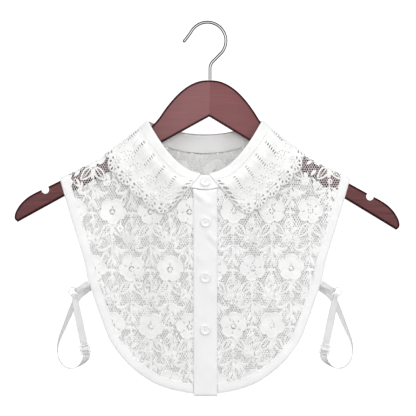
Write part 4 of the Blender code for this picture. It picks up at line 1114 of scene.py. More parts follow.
def binding_ring(lengths, hand, side):
    """Sections of the binding at these lengths, puckered a little by its stitches."""
    rings, tops, ups = [], [], []
    pucker = 0.14 * np.sin(lengths * 0.83) + 0.12 * np.sin(lengths * 0.37 + hand) + 0.1 * np.sin(lengths * 1.9)
    for inset, out in BINDING_SECTION:
        place = edge_point(lengths, inset)
        u = np.maximum(place[:, 0], edge_point(lengths[:1], 0.0)[0, 0]) * hand
        drop = np.maximum(shoulder(u) - place[:, 1], 0.0)
        normal = body_normal(u, drop, side)
        raised = out + pucker * (0.8 if out > 0 else 0.3)
        rings.append(body_point(u, drop, side) + normal * raised[:, None])
    place = edge_point(lengths, 9.5)
    u = place[:, 0] * hand
    drop = np.maximum(shoulder(u) - place[:, 1], 0.0)
    normal = body_normal(u, drop, side)
    row = body_point(u, drop, side) + normal * (0.86 + pucker * 0.8)[:, None]
    return np.stack(rings, 1), row, normal


def binding_piece(name, hands, side, start, nodes):
    lengths = binding_lengths(start)
    rings, row, normal = binding_ring(lengths, hands[-1], side)
    if len(hands) == 2:
        other_rings, other_row, other_normal = binding_ring(lengths, hands[0], side)
        rings = np.concatenate([other_rings[::-1], rings[1:]])
        row = np.concatenate([other_row[::-1], row[1:]])
        normal = np.concatenate([other_normal[::-1], normal[1:]])
    points, faces = folded_strip(rings)
    along = np.repeat(lengths_along(row), rings.shape[1])
    across = np.tile([inset for inset, _ in BINDING_SECTION], len(rings))
    piece = make_piece(name, points, faces, cotton_finish, nodes, uv=np.stack([across, along], 1))
    turn_outwards(piece)
    stitches = stitch_grains(row, normal)
    print(name, "triangles:", triangles_of(piece), "length:", round(along[-1]), "mm")
    return piece, stitches


binding_left, stitches_left = binding_piece(
    "edging_front_left", [-1], FRONT, length_at(-PLACKET_LEFT + 0.3, 0.0), ["binding_front_left"])
binding_right, stitches_right = binding_piece(
    "edging_front_right", [1], FRONT, length_at(PLACKET_RIGHT + 0.3, 0.0), ["binding_front_right"])
binding_behind, stitches_behind = binding_piece("edging_back", [-1, 1], BACK, 0.0, ["binding_back"])
edging_stitches = stitch_piece("edging_stitches", [stitches_left, stitches_right, stitches_behind])

# %% The placket and the button band
PLACKET_CREASES = [
    # from u, from height, to u, to height, height of the ridge, half width
    (-13, -192, 8, -209, 2.2, 3.4),
    (-5, -205, 14, -223, 1.8, 3.2),
    (2, -238, 15, -252, 1.8, 3.4),
    (-12, -262, 2, -275, 0.8, 4),
    (0, -300, 14, -316, 0.7, 5),
    (-12, -199, 9, -217, -1.1, 2.0),
    (1, -245, 14, -260, -1.0, 2.0),
    (-11, -330, 4, -338, 0.35, 3),
    (-2, -382, 13, -396, 0.4, 4),
    (-10, -402, 0, -410, -0.3, 3),
]
PLACKET_FOOT = -425.5
BAND_FOOT = -421.0
PLACKET_SEAM = -9.2
PLACKET_STITCHES = (-11.6, -9.9, 12.3)


def strip_grid(columns, foot, row_step, out, creases):
    """A grid of points and normals for a straight strip down the front."""
    u = np.asarray(columns, float)
    top = neck_height(u, FRONT) - 0.45
    rows = int((-150 - foot) / row_step)
    share = np.linspace(0, 1, rows)[:, None]
    height = top[None, :] * (1 - share) + foot * share
    across = np.broadcast_to(u[None, :], height.shape)
    drop = shoulder(across) - height
    normal = body_normal(across, drop, FRONT)
    raised = np.broadcast_to(out, height.shape) + fold_waves(across, height, creases)
    return body_point(across, drop, FRONT) + normal * raised[..., None], normal, across, height


def strip_piece(name, columns, foot, row_step, out, creases, thickness, nodes):
    points, normal, across, height = strip_grid(columns, foot, row_step, out, creases)
    half = np.full(across.shape, thickness / 2)
    half[:, [0, -1]] *= 0.45
    half[[0, -1]] *= 0.5
    wall_points, faces = closed_wall(points + normal * half[..., None], points - normal * half[..., None])
    flat = np.stack([across, height], -1).reshape(-1, 2)
    piece = make_piece(name, wall_points, faces, cotton_finish, nodes, uv=np.concatenate([flat, flat]))
    turn_outwards(piece)
    print(name, "triangles:", triangles_of(piece))
    return piece


placket_columns = np.sort(np.concatenate([
    np.linspace(PLACKET_LEFT, PLACKET_RIGHT, 23), [PLACKET_LEFT + 0.35, PLACKET_RIGHT - 0.35, PLACKET_SEAM - 0.3, PLACKET_SEAM + 0.3],
]))
stitch_dip = np.zeros(len(placket_columns))
for seam in (*PLACKET_STITCHES, PLACKET_SEAM):
    stitch_dip -= 0.22 * np.exp(-(((placket_columns - seam) / 0.5) ** 2))
PLACKET_OUT = CLOTH / 2 + 0.3 + 0.7
placket_piece = strip_piece(
    "front_placket", placket_columns, PLACKET_FOOT, 3.0, PLACKET_OUT + stitch_dip, PLACKET_CREASES, 1.3, ["placket"])
band_piece_hidden = strip_piece(
    "hidden_button_band", np.linspace(-8.7, 9.7, 9), BAND_FOOT, 5.0, 0.0, [], 1.1, ["button_band"])
placket_rows = []
for seam in PLACKET_STITCHES:
    line, normal, _, _ = strip_grid([seam], PLACKET_FOOT + 1.2, 3.0, PLACKET_OUT + 0.55, PLACKET_CREASES)
    placket_rows.append(stitch_grains(line[:, 0], normal[:, 0], 2.5, 1.9))
placket_stitches = stitch_piece("placket_stitches", placket_rows)

# %% The collar stand
STAND_SIDE = (66.2, -112.5)
NECK_OVAL = 2.6
LAP, LAP_FROM, LAP_TO = 1.4, 15.0, 28.0
STAND_OUTER_END, STAND_INNER_END = 12.1, -7.6


def stand_ends(angle, side):
    """Top and foot of the stand at this angle, which is 0 in front and grows to the right."""
    side_u, side_height = STAND_SIDE
    across, forward = np.sin(angle), np.abs(np.cos(angle))
    oval = (np.abs(across) ** NECK_OVAL + forward**NECK_OVAL) ** (-1 / NECK_OVAL)
    across, forward = across * oval, forward * oval
    top = np.stack(
        [
            side_u * across + GARMENT_X,
            side["sign"] * side["fold_out"] * forward,
            side_height - side["fold_drop"] * (1 - across**2),
        ],
        -1,
    )
    foot_u = NECK_WIDTH * across
    foot_drop = np.maximum(shoulder(foot_u) - neck_height(foot_u, side), 0.0)
    foot = body_point(foot_u, foot_drop, side)
    foot[..., 1] *= smooth_step(0.0, 0.02, forward)
    return top, foot


def stand_point(angle, fraction):
    angle, fraction = np.broadcast_arrays(np.asarray(angle, float), np.asarray(fraction, float))
    front_top, front_foot = stand_ends(angle, FRONT)
    back_top, back_foot = stand_ends(angle, BACK)
    in_front = (np.cos(angle) >= 0)[..., None]
    top = np.where(in_front, front_top, back_top)
    foot = np.where(in_front, front_foot, back_foot)
    return top + (foot - top) * fraction[..., None]


def stand_normal(angle, fraction):
    across = stand_point(angle + 0.02, fraction) - stand_point(angle - 0.02, fraction)
    down = stand_point(angle, 1.0) - stand_point(angle, 0.0)
    normal = np.cross(down, across)
    return normal / np.linalg.norm(normal, axis=-1, keepdims=True)


def lap_out(u):
    return LAP * (1 - smooth_step(LAP_FROM, LAP_TO, np.abs(u)))


turned = np.radians(np.linspace(STAND_OUTER_END, -360 + STAND_INNER_END, 178))
STAND_ROWS = np.array([0.0, 0.05, 0.14, 0.5, 0.86, 0.95, 1.0])
STAND_HALF = np.array([0.16, 0.42, 0.36, 0.46, 0.36, 0.42, 0.25])
angle_grid = np.broadcast_to(turned[:, None], (len(turned), len(STAND_ROWS)))
stand_middle = stand_point(angle_grid, STAND_ROWS[None, :])
stand_out = stand_normal(angle_grid, np.broadcast_to(STAND_ROWS[None, :], angle_grid.shape))
stand_raised = np.where(np.degrees(angle_grid) > -90, lap_out(stand_middle[..., 0] - GARMENT_X), 0.0)
stand_middle = stand_middle + stand_out * stand_raised[..., None]
half = (STAND_HALF[None, :, None] * stand_out)
stand_points, stand_faces = closed_wall(stand_middle + half, stand_middle - half)
around = lengths_along(stand_middle[:, 3])
stand_uv = np.stack(np.broadcast_arrays(around[:, None], STAND_ROWS[None, :] * 18.0), -1).reshape(-1, 2)
stand_piece = make_piece(
    "neck_stand", stand_points, stand_faces, cotton_finish, ["collar_stand"],
    uv=np.concatenate([stand_uv, stand_uv]))
turn_outwards(stand_piece)
stand_rows = []
for row in (2, 4):
    for face in (-1, 1):
        line = stand_middle[:, row] + stand_out[:, row] * 0.4 * face
        stand_rows.append(stitch_grains(line, stand_out[:, row] * face))
stand_stitches = stitch_piece("stand_stitches", stand_rows)
print("neck_stand triangles:", triangles_of(stand_piece), "round the neck:", round(around[-1]), "mm")

# %% [markdown]
# ## The eyelet lace of the collar
#
# The collar that folds over the stand is a heavier lace, about 60 mm wide, with a scalloped edge. From
# its fold outwards it has a plain woven band with a line of pinholes, ladders of short slits between
# smooth raised blocks, a band of small holes, and a daisy in each scallop with open eyelets round it.
# One scallop is triangulated once, with its holes left open and their rims raised, then laid along the
# collar's form twenty-four times. The corner by the closing is a wider scallop of its own.

# %% The collar's form
FALL_START, FALL_LEAD, FALL_LEAD_TO = 4.6, 9.0, 50.0
ON_STAND, ON_BODY, TIP_LIFT = 1.5, 2.0, 1.6
FALL_EDGE_FRONT = [
    # half width, height, from the corner of the wing to the shoulder
    (36.5, -212.5), (43.5, -217.3), (52, -218.8), (59.5, -215.2), (66, -208), (81, -195.5),
    (93, -184), (104, -174.5), (111.5, -162), (114.5, -151.4),
]
FALL_EDGE_BACK = [
    # half width, height, from the shoulder to the middle of the back
    (114.5, -151.4), (108, -165), (92, -173.5), (68, -180.5), (40, -184.5), (18, -186), (0, -186.4),
]
CORNER_LOBE = 25.0
LOBES = 12
FALL_DEEP = 60.0
FALL_INNER = -2.4


def fall_edge(side, rows):
    curve = smooth_curve(rows)
    drop = np.maximum(shoulder(curve[:, 0]) - curve[:, 1], 0.0)
    return curve[:, 0], drop, lengths_along(body_point(curve[:, 0], drop, side))


def fold_angle_table(start, end):
    angles = np.radians(np.linspace(start, end, 400))
    lengths = lengths_along(stand_point(angles, 0.0))
    return angles, lengths / lengths[-1]


FRONT_ANGLES = fold_angle_table(FALL_START, 90)
BACK_ANGLES = fold_angle_table(90, 180)
edge_front_u, edge_front_drop, edge_front_lengths = fall_edge(FRONT, FALL_EDGE_FRONT)
edge_back_u, edge_back_drop, edge_back_lengths = fall_edge(BACK, FALL_EDGE_BACK)
FRONT_LENGTH = float(edge_front_lengths[-1])
HALF_LENGTH = FRONT_LENGTH + float(edge_back_lengths[-1])
PITCH = (HALF_LENGTH - CORNER_LOBE) / (LOBES - 1)


def fall_column(place):
    """One line of the collar from inside the fold, over the stand and out over the body."""
    if place <= FRONT_LENGTH:
        side = FRONT
        edge_u = float(np.interp(place, edge_front_lengths, edge_front_u))
        edge_drop = float(np.interp(place, edge_front_lengths, edge_front_drop))
        angle = float(np.interp(place / FRONT_LENGTH, FRONT_ANGLES[1], FRONT_ANGLES[0]))
        lead = math.radians(FALL_LEAD) * max(0.0, 1 - math.degrees(angle) / FALL_LEAD_TO) ** 2
    else:
        side = BACK
        behind = place - FRONT_LENGTH
        edge_u = float(np.interp(behind, edge_back_lengths, edge_back_u))
        edge_drop = float(np.interp(behind, edge_back_lengths, edge_back_drop))
        angle = float(np.interp(behind / edge_back_lengths[-1], BACK_ANGLES[1], BACK_ANGLES[0]))
        lead = 0.0
    top, foot = stand_point(angle, 0.0), stand_point(angle + lead, 1.0)
    up = top - stand_point(angle, 1.0)
    up /= np.linalg.norm(up)
    out = stand_normal(angle, 0.0)
    raised = lap_out(top[0] - GARMENT_X)
    line = [
        top + out * (raised - 0.35) + up * 0.95,
        top + out * (raised + 0.45) + up * 1.15,
        top + out * (raised + 1.3) + up * 0.45,
    ]
    shares = np.array([0.1, 0.32, 0.55, 0.78])
    line += list(
        stand_point(angle + lead * shares, shares)
        + stand_normal(angle + lead * shares, shares) * (raised + ON_STAND)
    )
    foot_u = foot[0] - GARMENT_X
    foot_drop = max(0.0, float(shoulder(foot_u)) - foot[2])
    seam_out = stand_normal(angle + lead, 1.0) + body_normal(foot_u, foot_drop, side)
    seam_out /= np.linalg.norm(seam_out)
    line.append(foot + seam_out * (ON_STAND + raised + 0.5))
    shares = np.array([0.14, 0.3, 0.48, 0.66, 0.84, 1.0])
    u = foot_u + (edge_u - foot_u) * shares
    drop = foot_drop + (edge_drop - foot_drop) * shares
    lift = TIP_LIFT * smooth_step(6.0, 30.0, edge_drop) * smooth_step(0.3, 1.0, shares)
    over = raised * (1 - smooth_step(0, 0.5, shares))
    line += list(body_point(u, drop, side) + body_normal(u, drop, side) * (ON_BODY + lift + over)[:, None])
    return smooth_curve(line, 5)


FALL_PLACES = np.linspace(0, HALF_LENGTH, 150)
FALL_DEPTHS = np.concatenate([np.linspace(FALL_INNER, 3, 13), np.linspace(4, FALL_DEEP, 57)])


def fall_grid():
    rows = []
    for place in FALL_PLACES:
        line = fall_column(place)
        lengths = lengths_along(line)
        crest = lengths[5]
        outer = crest + (lengths[-1] - crest) * FALL_DEPTHS / FALL_DEEP
        wanted = np.where(FALL_DEPTHS < 0, crest * (1 - FALL_DEPTHS / FALL_INNER), outer)
        rows.append(point_at(line, lengths, wanted))
    return np.array(rows)


FALL_POINTS = fall_grid()
fall_across = np.gradient(FALL_POINTS, axis=0)
fall_down = np.gradient(FALL_POINTS, axis=1)
FALL_NORMALS = np.cross(fall_down, fall_across)
FALL_NORMALS /= np.linalg.norm(FALL_NORMALS, axis=-1, keepdims=True)
print("collar half:", round(HALF_LENGTH), "mm round its edge, scallop pitch", round(PITCH, 1), "mm")


def on_fall(places, depths, out):
    """Points of the flat collar pattern on its hanging form, for the right half."""
    i = np.interp(places, FALL_PLACES, np.arange(len(FALL_PLACES)))
    j = np.interp(depths, FALL_DEPTHS, np.arange(len(FALL_DEPTHS)))
    low_i = np.minimum(i.astype(int), len(FALL_PLACES) - 2)
    low_j = np.minimum(j.astype(int), len(FALL_DEPTHS) - 2)
    part_i, part_j = (i - low_i)[:, None], (j - low_j)[:, None]

    def mix(grid):
        near = grid[low_i, low_j] * (1 - part_j) + grid[low_i, low_j + 1] * part_j
        far = grid[low_i + 1, low_j] * (1 - part_j) + grid[low_i + 1, low_j + 1] * part_j
        return near * (1 - part_i) + far * part_i

    return mix(FALL_POINTS) + mix(FALL_NORMALS) * np.asarray(out)[:, None]


# %% One scallop, triangulated flat
NOTCH_DEEP = 4.9
RIM = 0.5


def oval(x, y, wide, tall, turn=0.0, steps=10):
    angles = np.linspace(0, 2 * math.pi, steps, endpoint=False)
    points = np.stack([np.cos(angles) * wide / 2, np.sin(angles) * tall / 2], 1)
    cosine, sine = math.cos(math.radians(turn)), math.sin(math.radians(turn))
    return points @ np.array([[cosine, sine], [-sine, cosine]]) + [x, y]


def scallop_edge(start, end, centre, half_width, steps):
    """The curved outer edge of a scallop between two places."""
    x = np.linspace(start, end, steps)
    share = np.clip(np.abs(x - centre) / half_width, 0, 1)
    return np.stack([x, FALL_DEEP - NOTCH_DEEP * (1 - np.sqrt(1 - share**2))], 1)


def side_line(x):
    """The line between two tiles: through the smooth blocks, then down between two daisies."""
    knots = [
        (x - PITCH / 2, FALL_INNER), (x - PITCH / 2, -1.6), (x - PITCH / 2, -0.8), (x - PITCH / 2, 0.0),
        (x - PITCH / 2, 0.8), (x - PITCH / 2, 1.6), (x - PITCH / 2, 3.0), (x - PITCH / 2, 5.0),
    ]
    knots += [(x - PITCH / 2, y) for y in (8.0, 11.5, 15.0, 18.5, 22.0, 25.5, 29.5)]
    knots += [(x - PITCH / 3, 34.0), (x - PITCH / 6, 38.5), (x, 43.0), (x, 47.0), (x, 51.5)]
    knots.append((x, FALL_DEEP - NOTCH_DEEP))
    return np.array(knots)


DAISY_RELIEF = [
    # radius, height, how much the petals stand above it
    (0.9, 0.9, 0), (1.5, 0.1, 0), (2.7, 0.6, 0.1), (4.0, 0.75, 0.35), (5.3, 0.75, 0.45), (6.1, 0.1, 0.1),
]


def daisy_rings(x, y, petals, size, turn=0.0):
    """Points and heights of a daisy worked in relief."""
    angles = np.linspace(0, 2 * math.pi, petals * 4, endpoint=False) + math.radians(turn)
    swell = np.cos(angles * petals - math.radians(turn) * petals)
    points, heights = [(x, y)], [0.75]
    for radius, base, wave in DAISY_RELIEF:
        ring = radius * size / 6.4
        if radius > 5:
            ring = ring * (1 + 0.05 * swell)
        points.extend(np.stack([x + ring * np.cos(angles), y + ring * np.sin(angles)], 1))
        heights.extend(base + wave * swell)
    return points, heights


def tile(outline, holes, daisies, blocks):
    """A flat piece of the lace as points, heights and faces. Each hole is (outline, rim height)."""
    points, heights, edges = [], [], []

    def add_loop(loop, height, closed=True):
        start = len(points)
        points.extend(loop)
        heights.extend(np.broadcast_to(height, (len(loop),)))
        last = len(loop) if closed else len(loop) - 1
        edges.extend((start + k, start + (k + 1) % len(loop)) for k in range(last))

    add_loop(outline, 0.0)
    for hole, rise in holes:
        add_loop(hole, rise * 0.5)
        middle = hole.mean(axis=0)
        away = hole - middle
        reach = np.linalg.norm(away, axis=1, keepdims=True)
        add_loop(middle + away * (reach + RIM) / reach, rise)
    for x, y, petals, size, turn in daisies:
        ring_points, ring_heights = daisy_rings(x, y, petals, size, turn)
        points.extend(ring_points)
        heights.extend(ring_heights)
    for x, y, wide, tall in blocks:
        for scale, rise in ((1.0, 0.05), (0.82, 0.5), (0.35, 0.62)):
            corner = oval(x, y, wide * scale, tall * scale, 0.0, 14)
            square = (corner - [x, y]) * (1 + 0.18 * np.abs(np.sin(2 * np.arctan2(corner[:, 1] - y, corner[:, 0] - x))))[:, None]
            points.extend(square + [x, y])
            heights.extend([rise] * len(corner))
    taken = np.array(points)
    low, high = taken.min(axis=0), taken.max(axis=0)
    for y in (-1.6, -0.8, 0.0, 0.8, 1.6, 3.0, 5.5, 8.0, 12.5, 29.0, 32.5, 36.0, 39.5, 43.0, 46.5, 50.0, 54.0, 57.5):
        for x in np.arange(low[0] + 1.4, high[0], 2.9):
            if np.min(np.linalg.norm(taken - [x, y], axis=1)) > 1.15:
                points.append((x, y))
                heights.append(0.0)
    flat = [Vector((float(x), float(y))) for x, y in points]
    verts, _, faces, origin, _, _ = delaunay_2d_cdt(flat, edges, [], 0, 1e-5)
    made = np.array([tuple(v) for v in verts])
    lifted = np.array([heights[source[0]] if source else 0.0 for source in origin])
    faces = np.array([tuple(face) for face in faces])
    middles = made[faces].mean(axis=1)
    kept = inside_shape(middles, np.asarray(outline, float))
    for hole, _ in holes:
        kept &= ~inside_shape(middles, hole)
    faces = faces[kept]
    corner = made[faces]
    turn = np.cross(corner[:, 1] - corner[:, 0], corner[:, 2] - corner[:, 0])
    faces[turn > 0] = faces[turn > 0][:, ::-1]
    return made, lifted, faces


def pinhole(x, y, size=1.2, rise=0.25):
    return (oval(x, y, size, size, 15, 6), rise)


def ladder(x):
    return [(oval(x, y, 4.6, 1.3, 0, 8), 0.42) for y in (14.6, 17.4, 20.2, 23.0, 25.8, 28.4)]


def fan(x, y, radius, turns, long, wide):
    """Radial eyelets round a daisy."""
    return [
        (oval(x + radius * math.sin(math.radians(t)), y + radius * math.cos(math.radians(t)), wide, long, -t, 10), 0.55)
        for t in turns
    ]


def daisy_pinholes(x, y, petals, radius, turn):
    step = 360 / petals
    return [
        pinhole(x + radius * math.cos(math.radians(turn + step * (k + 0.5))),
                y + radius * math.sin(math.radians(turn + step * (k + 0.5))), 0.8, 0.2)
        for k in range(petals)
    ]


def daisy_slits(x, y, petals, radius):
    """Short slits between the petals of a daisy."""
    turns = [360 / petals * (k + 0.5) for k in range(petals)]
    return [
        (oval(x + radius * math.sin(math.radians(t)), y + radius * math.cos(math.radians(t)), 0.6, 1.7, -t, 6), 0.3)
        for t in turns
    ]


# %% The tiles
centre_x = PITCH / 2
DAISY_Y = 49.3
SMALL_HOLES = [
    # across from the ladder, depth, size
    (2.4, 31.0, 1.3), (5.6, 31.6, 1.1), (13.2, 31.6, 1.1), (-2.4, 31.0, 1.3),
    (0.0, 33.8, 1.3), (3.9, 34.6, 1.3), (9.2, 33.6, 1.5), (-3.4, 34.4, 1.2),
    (1.9, 37.2, 1.3), (6.2, 37.6, 1.3), (12.2, 37.6, 1.3), (9.2, 37.0, 1.1),
    (0.4, 40.4, 1.2), (4.0, 41.0, 1.3), (14.4, 41.0, 1.3),
]
standard_holes = [pinhole(-PITCH / 2 + 1.15 + 2.3 * k, 10.2, 0.95, 0.1) for k in range(8)]
standard_holes += ladder(0.0)
standard_holes += [pinhole(x, y, size) for x, y, size in SMALL_HOLES]
standard_holes += fan(centre_x, DAISY_Y, 8.15, (-46, -15.5, 15.5, 46), 3.4, 2.4)
standard_holes += fan(centre_x, DAISY_Y, 7.2, (-76, 76), 2.7, 2.3)
standard_holes += daisy_pinholes(centre_x, DAISY_Y, 8, 2.05, 0)
standard_holes += daisy_slits(centre_x, DAISY_Y, 8, 4.7)
left_line = side_line(0.0)
right_line = side_line(PITCH)
standard_outline = np.vstack([
    left_line,
    scallop_edge(0, PITCH, centre_x, PITCH / 2, 17)[1:-1],
    right_line[::-1],
    np.stack([np.linspace(PITCH / 2, -PITCH / 2, 8)[1:-1], np.full(6, FALL_INNER)], 1),
])
blocks = [(-6.1, 21.2, 3.6, 12.0), (6.1, 21.2, 3.6, 12.0)]
standard_tile = tile(standard_outline, standard_holes, [(centre_x, DAISY_Y, 8, 6.3, 0)], blocks)
print("one scallop:", len(standard_tile[2]), "triangles,", len(standard_holes), "holes")

CORNER_DAISY = (13.6, 48.6)
corner_holes = [pinhole(x, 10.2, 0.95, 0.1) for x in np.arange(2.6, CORNER_LOBE - PITCH / 2 - 0.8, 2.3)]
corner_holes += [(oval(4.4, y, wide, long, 0, 12), 0.45) for y, wide, long in ((13.8, 5.0, 2.6), (18.8, 6.4, 3.6))]
corner_holes += [(oval(x, y, wide, long, turn, 14), 0.6)
                 for x, y, wide, long, turn in (
                     (5.3, 25.0, 7.9, 5.2, 0), (5.3, 32.0, 7.9, 5.3, 0), (5.1, 39.0, 7.6, 5.3, 0),
                     (5.0, 46.0, 7.2, 5.1, -6), (6.8, 53.0, 5.6, 4.8, -38))]
corner_holes += fan(*CORNER_DAISY, 7.7, (-14, 22, 58, 96), 3.3, 2.9)
corner_holes += daisy_pinholes(*CORNER_DAISY, 8, 2.05, 0)
corner_holes += [pinhole(x, y, 1.3) for x, y in (
    (11.6, 31.4), (15.0, 32.4), (10.4, 35.4), (13.4, 36.4), (17.2, 36.8), (10.2, 40.2), (19.4, 40.6), (15.2, 40.2))]
corner_right = side_line(CORNER_LOBE)
corner_outline = np.vstack([
    [(0.0, y) for y in (FALL_INNER, -1.6, -0.8, 0.0, 0.8, 1.6, 3.0, 5.0, 8.0, 11.5, 15.0, 18.5, 22.0, 25.5, 29.5, 34.0, 38.5, 43.0, 47.0, 51.5, 55.5)],
    scallop_edge(0, CORNER_LOBE, 0, CORNER_LOBE, 20)[:-1],
    corner_right[::-1],
    np.stack([np.linspace(CORNER_LOBE - PITCH / 2, 0, 8)[1:-1], np.full(6, FALL_INNER)], 1),
])
corner_blocks = [(11.0, 21.2, 5.4, 11.0)]
corner_tile = tile(corner_outline, corner_holes, [(*CORNER_DAISY, 8, 6.0, 0)], corner_blocks)
last_right = np.array([(0.0, y) for y in side_line(0.0)[:, 1]])
last_outline = np.vstack([
    side_line(0.0)[:-4], last_right[-5::-1],
    np.stack([np.linspace(0, -PITCH / 2, 5)[1:-1], np.full(3, FALL_INNER)], 1),
])
last_holes = [pinhole(-PITCH / 2 + 1.15 + 2.3 * k, 10.2, 0.95, 0.1) for k in range(4)]
last_holes += [pinhole(-2.4, 31.0, 1.3), pinhole(-3.2, 34.4, 1.2)]
last_tile = tile(last_outline, last_holes, [], [(-4.6, 21.2, 6.4, 11.0)])
print("corner:", len(corner_tile[2]), "triangles; middle of the back:", len(last_tile[2]))


# %% Laying the collar
def lay_collar(name):
    tiles = [(0.0, corner_tile)]
    tiles += [(CORNER_LOBE + PITCH * k, standard_tile) for k in range(LOBES - 1)]
    tiles.append((HALF_LENGTH, last_tile))
    points, faces, flats, start = [], [], [], 0
    for hand in (1, -1):
        for shift, (flat, heights, tile_faces) in tiles:
            places = flat[:, 0] + shift
            laid = on_fall(places, flat[:, 1], heights)
            if hand < 0:
                laid = (laid - [GARMENT_X, 0, 0]) * [-1, 1, 1] + [GARMENT_X, 0, 0]
            points.append(laid)
            flats.append(np.stack([places * hand, flat[:, 1]], 1))
            faces.append((tile_faces if hand > 0 else tile_faces[:, ::-1]) + start)
            start += len(flat)
    piece = make_piece(
        name, np.concatenate(points), np.concatenate(faces), collar_finish,
        ["collar_fall"], uv=np.concatenate(flats))
    shape = bmesh.new()
    shape.from_mesh(piece.data)
    bmesh.ops.remove_doubles(shape, verts=shape.verts, dist=2e-5)
    shape.to_mesh(piece.data)
    shape.free()
    apply_modifier(piece, "SOLIDIFY", thickness=0.75 * MM, offset=0.0)
    piece.data.shade_smooth()
    print(name, "triangles:", triangles_of(piece))
    return piece


collar_piece = lay_collar("eyelet_collar")

# %% [markdown]
# ## Working by hand in edit mode
#
# The hard pieces start as a primitive at its own size. Faces and edges are picked by their place or
# direction, then extruded, inset, spun or bevelled, just as with the mouse. These helpers do the picking
# and hand a finished mesh over to the garment's body.


# %% Helpers for edit mode
def begin(add, **settings):
    """Adds a primitive, alone selected, and opens it in edit mode."""
    bpy.ops.object.select_all(action="DESELECT")
    add(**settings)
    piece = bpy.context.object
    bpy.ops.object.transform_apply(location=True, rotation=True, scale=True)
    bpy.ops.object.mode_set(mode="EDIT")
    return piece


def pick(piece, kind, test):
    """Selects only the vertices, edges or faces that pass a test of their place and direction, in mm."""
    bpy.ops.mesh.select_mode(type=kind)
    bpy.ops.mesh.select_all(action="DESELECT")
    mesh = bmesh.from_edit_mesh(piece.data)
    for item in {"VERT": mesh.verts, "EDGE": mesh.edges, "FACE": mesh.faces}[kind]:
        corners = [item] if kind == "VERT" else item.verts
        places = np.array([corner.co / MM for corner in corners])
        direction = item.normal if kind != "EDGE" else None
        if test(places, direction):
            item.select_set(True)
    bmesh.update_edit_mesh(piece.data)


def pull(*mm):
    bpy.ops.mesh.extrude_region_move(TRANSFORM_OT_translate={"value": tuple(step * MM for step in mm)})


def hand_over(piece, name, material, nodes=(), sharp=35):
    """Leaves edit mode, points the faces outwards and gives the piece its finish and its body."""
    bpy.ops.mesh.select_all(action="SELECT")
    bpy.ops.mesh.remove_doubles(threshold=2e-6)
    bpy.ops.mesh.normals_make_consistent(inside=False)
    bpy.ops.object.mode_set(mode="OBJECT")
    piece.name = piece.data.name = name
    piece.data.materials.clear()
    piece.data.materials.append(material)
    bpy.ops.object.shade_smooth_by_angle(angle=math.radians(sharp))
    piece.select_set(False)
    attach(piece, "root")
    if nodes:
        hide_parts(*nodes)
    return piece


def cut_away(piece, cutter):
    """Cuts one piece with another, which is then thrown away."""
    apply_modifier(piece, "BOOLEAN", operation="DIFFERENCE", solver="EXACT", object=cutter)
    bpy.data.objects.remove(cutter)


def open_edges(piece):
    shape = bmesh.new()
    shape.from_mesh(piece.data)
    found = sum(1 for edge in shape.edges if not edge.is_manifold)
    shape.free()
    return found


# %% [markdown]
# ## The wooden hanger
#
# Each half of the hanger is sawn from one board, so it starts as a flat outline and is pulled out to the
# board's thickness. Its long edges are rounded over, as a router would do, and the joint in the middle
# stays square. A round notch for a shoulder strap is drilled near each tip. The wood hangs a little
# lower on the right, so every outline point is turned by the tilt first.

# %% The wooden arms
BOARD_THICK, BOARD_EDGE, JOINT_GAP = 12.0, 3.0, 0.0
BOARD_TOP, BOARD_APEX, BOARD_LOWER_SLOPE = -64.7, -106.6, 0.583
BOARD_TILT = math.radians(1.2)
NOTCH_RADIUS, NOTCH_CENTRE = 4.6, (186.5, -194.5)
BOARD_SHOULDER = [
    # distance from the middle, height of the top edge, round to the tip
    (0, -64.7), (10, -65.7), (20, -69.3), (30, -75.8), (40, -85.4), (50, -97.9), (58, -109.8),
    (66, -118.9), (80, -130.8), (100, -144.7), (115, -154.0), (130, -162.5), (158.4, -177.9),
    (182.2, -190.4), (202.5, -201), (213, -209.8), (219.6, -220), (221, -228), (217.5, -232.2),
]


def tilted(x, z):
    rise = z - BOARD_TOP
    new_x = x * math.cos(BOARD_TILT) + rise * math.sin(BOARD_TILT)
    return new_x, BOARD_TOP - x * math.sin(BOARD_TILT) + rise * math.cos(BOARD_TILT)


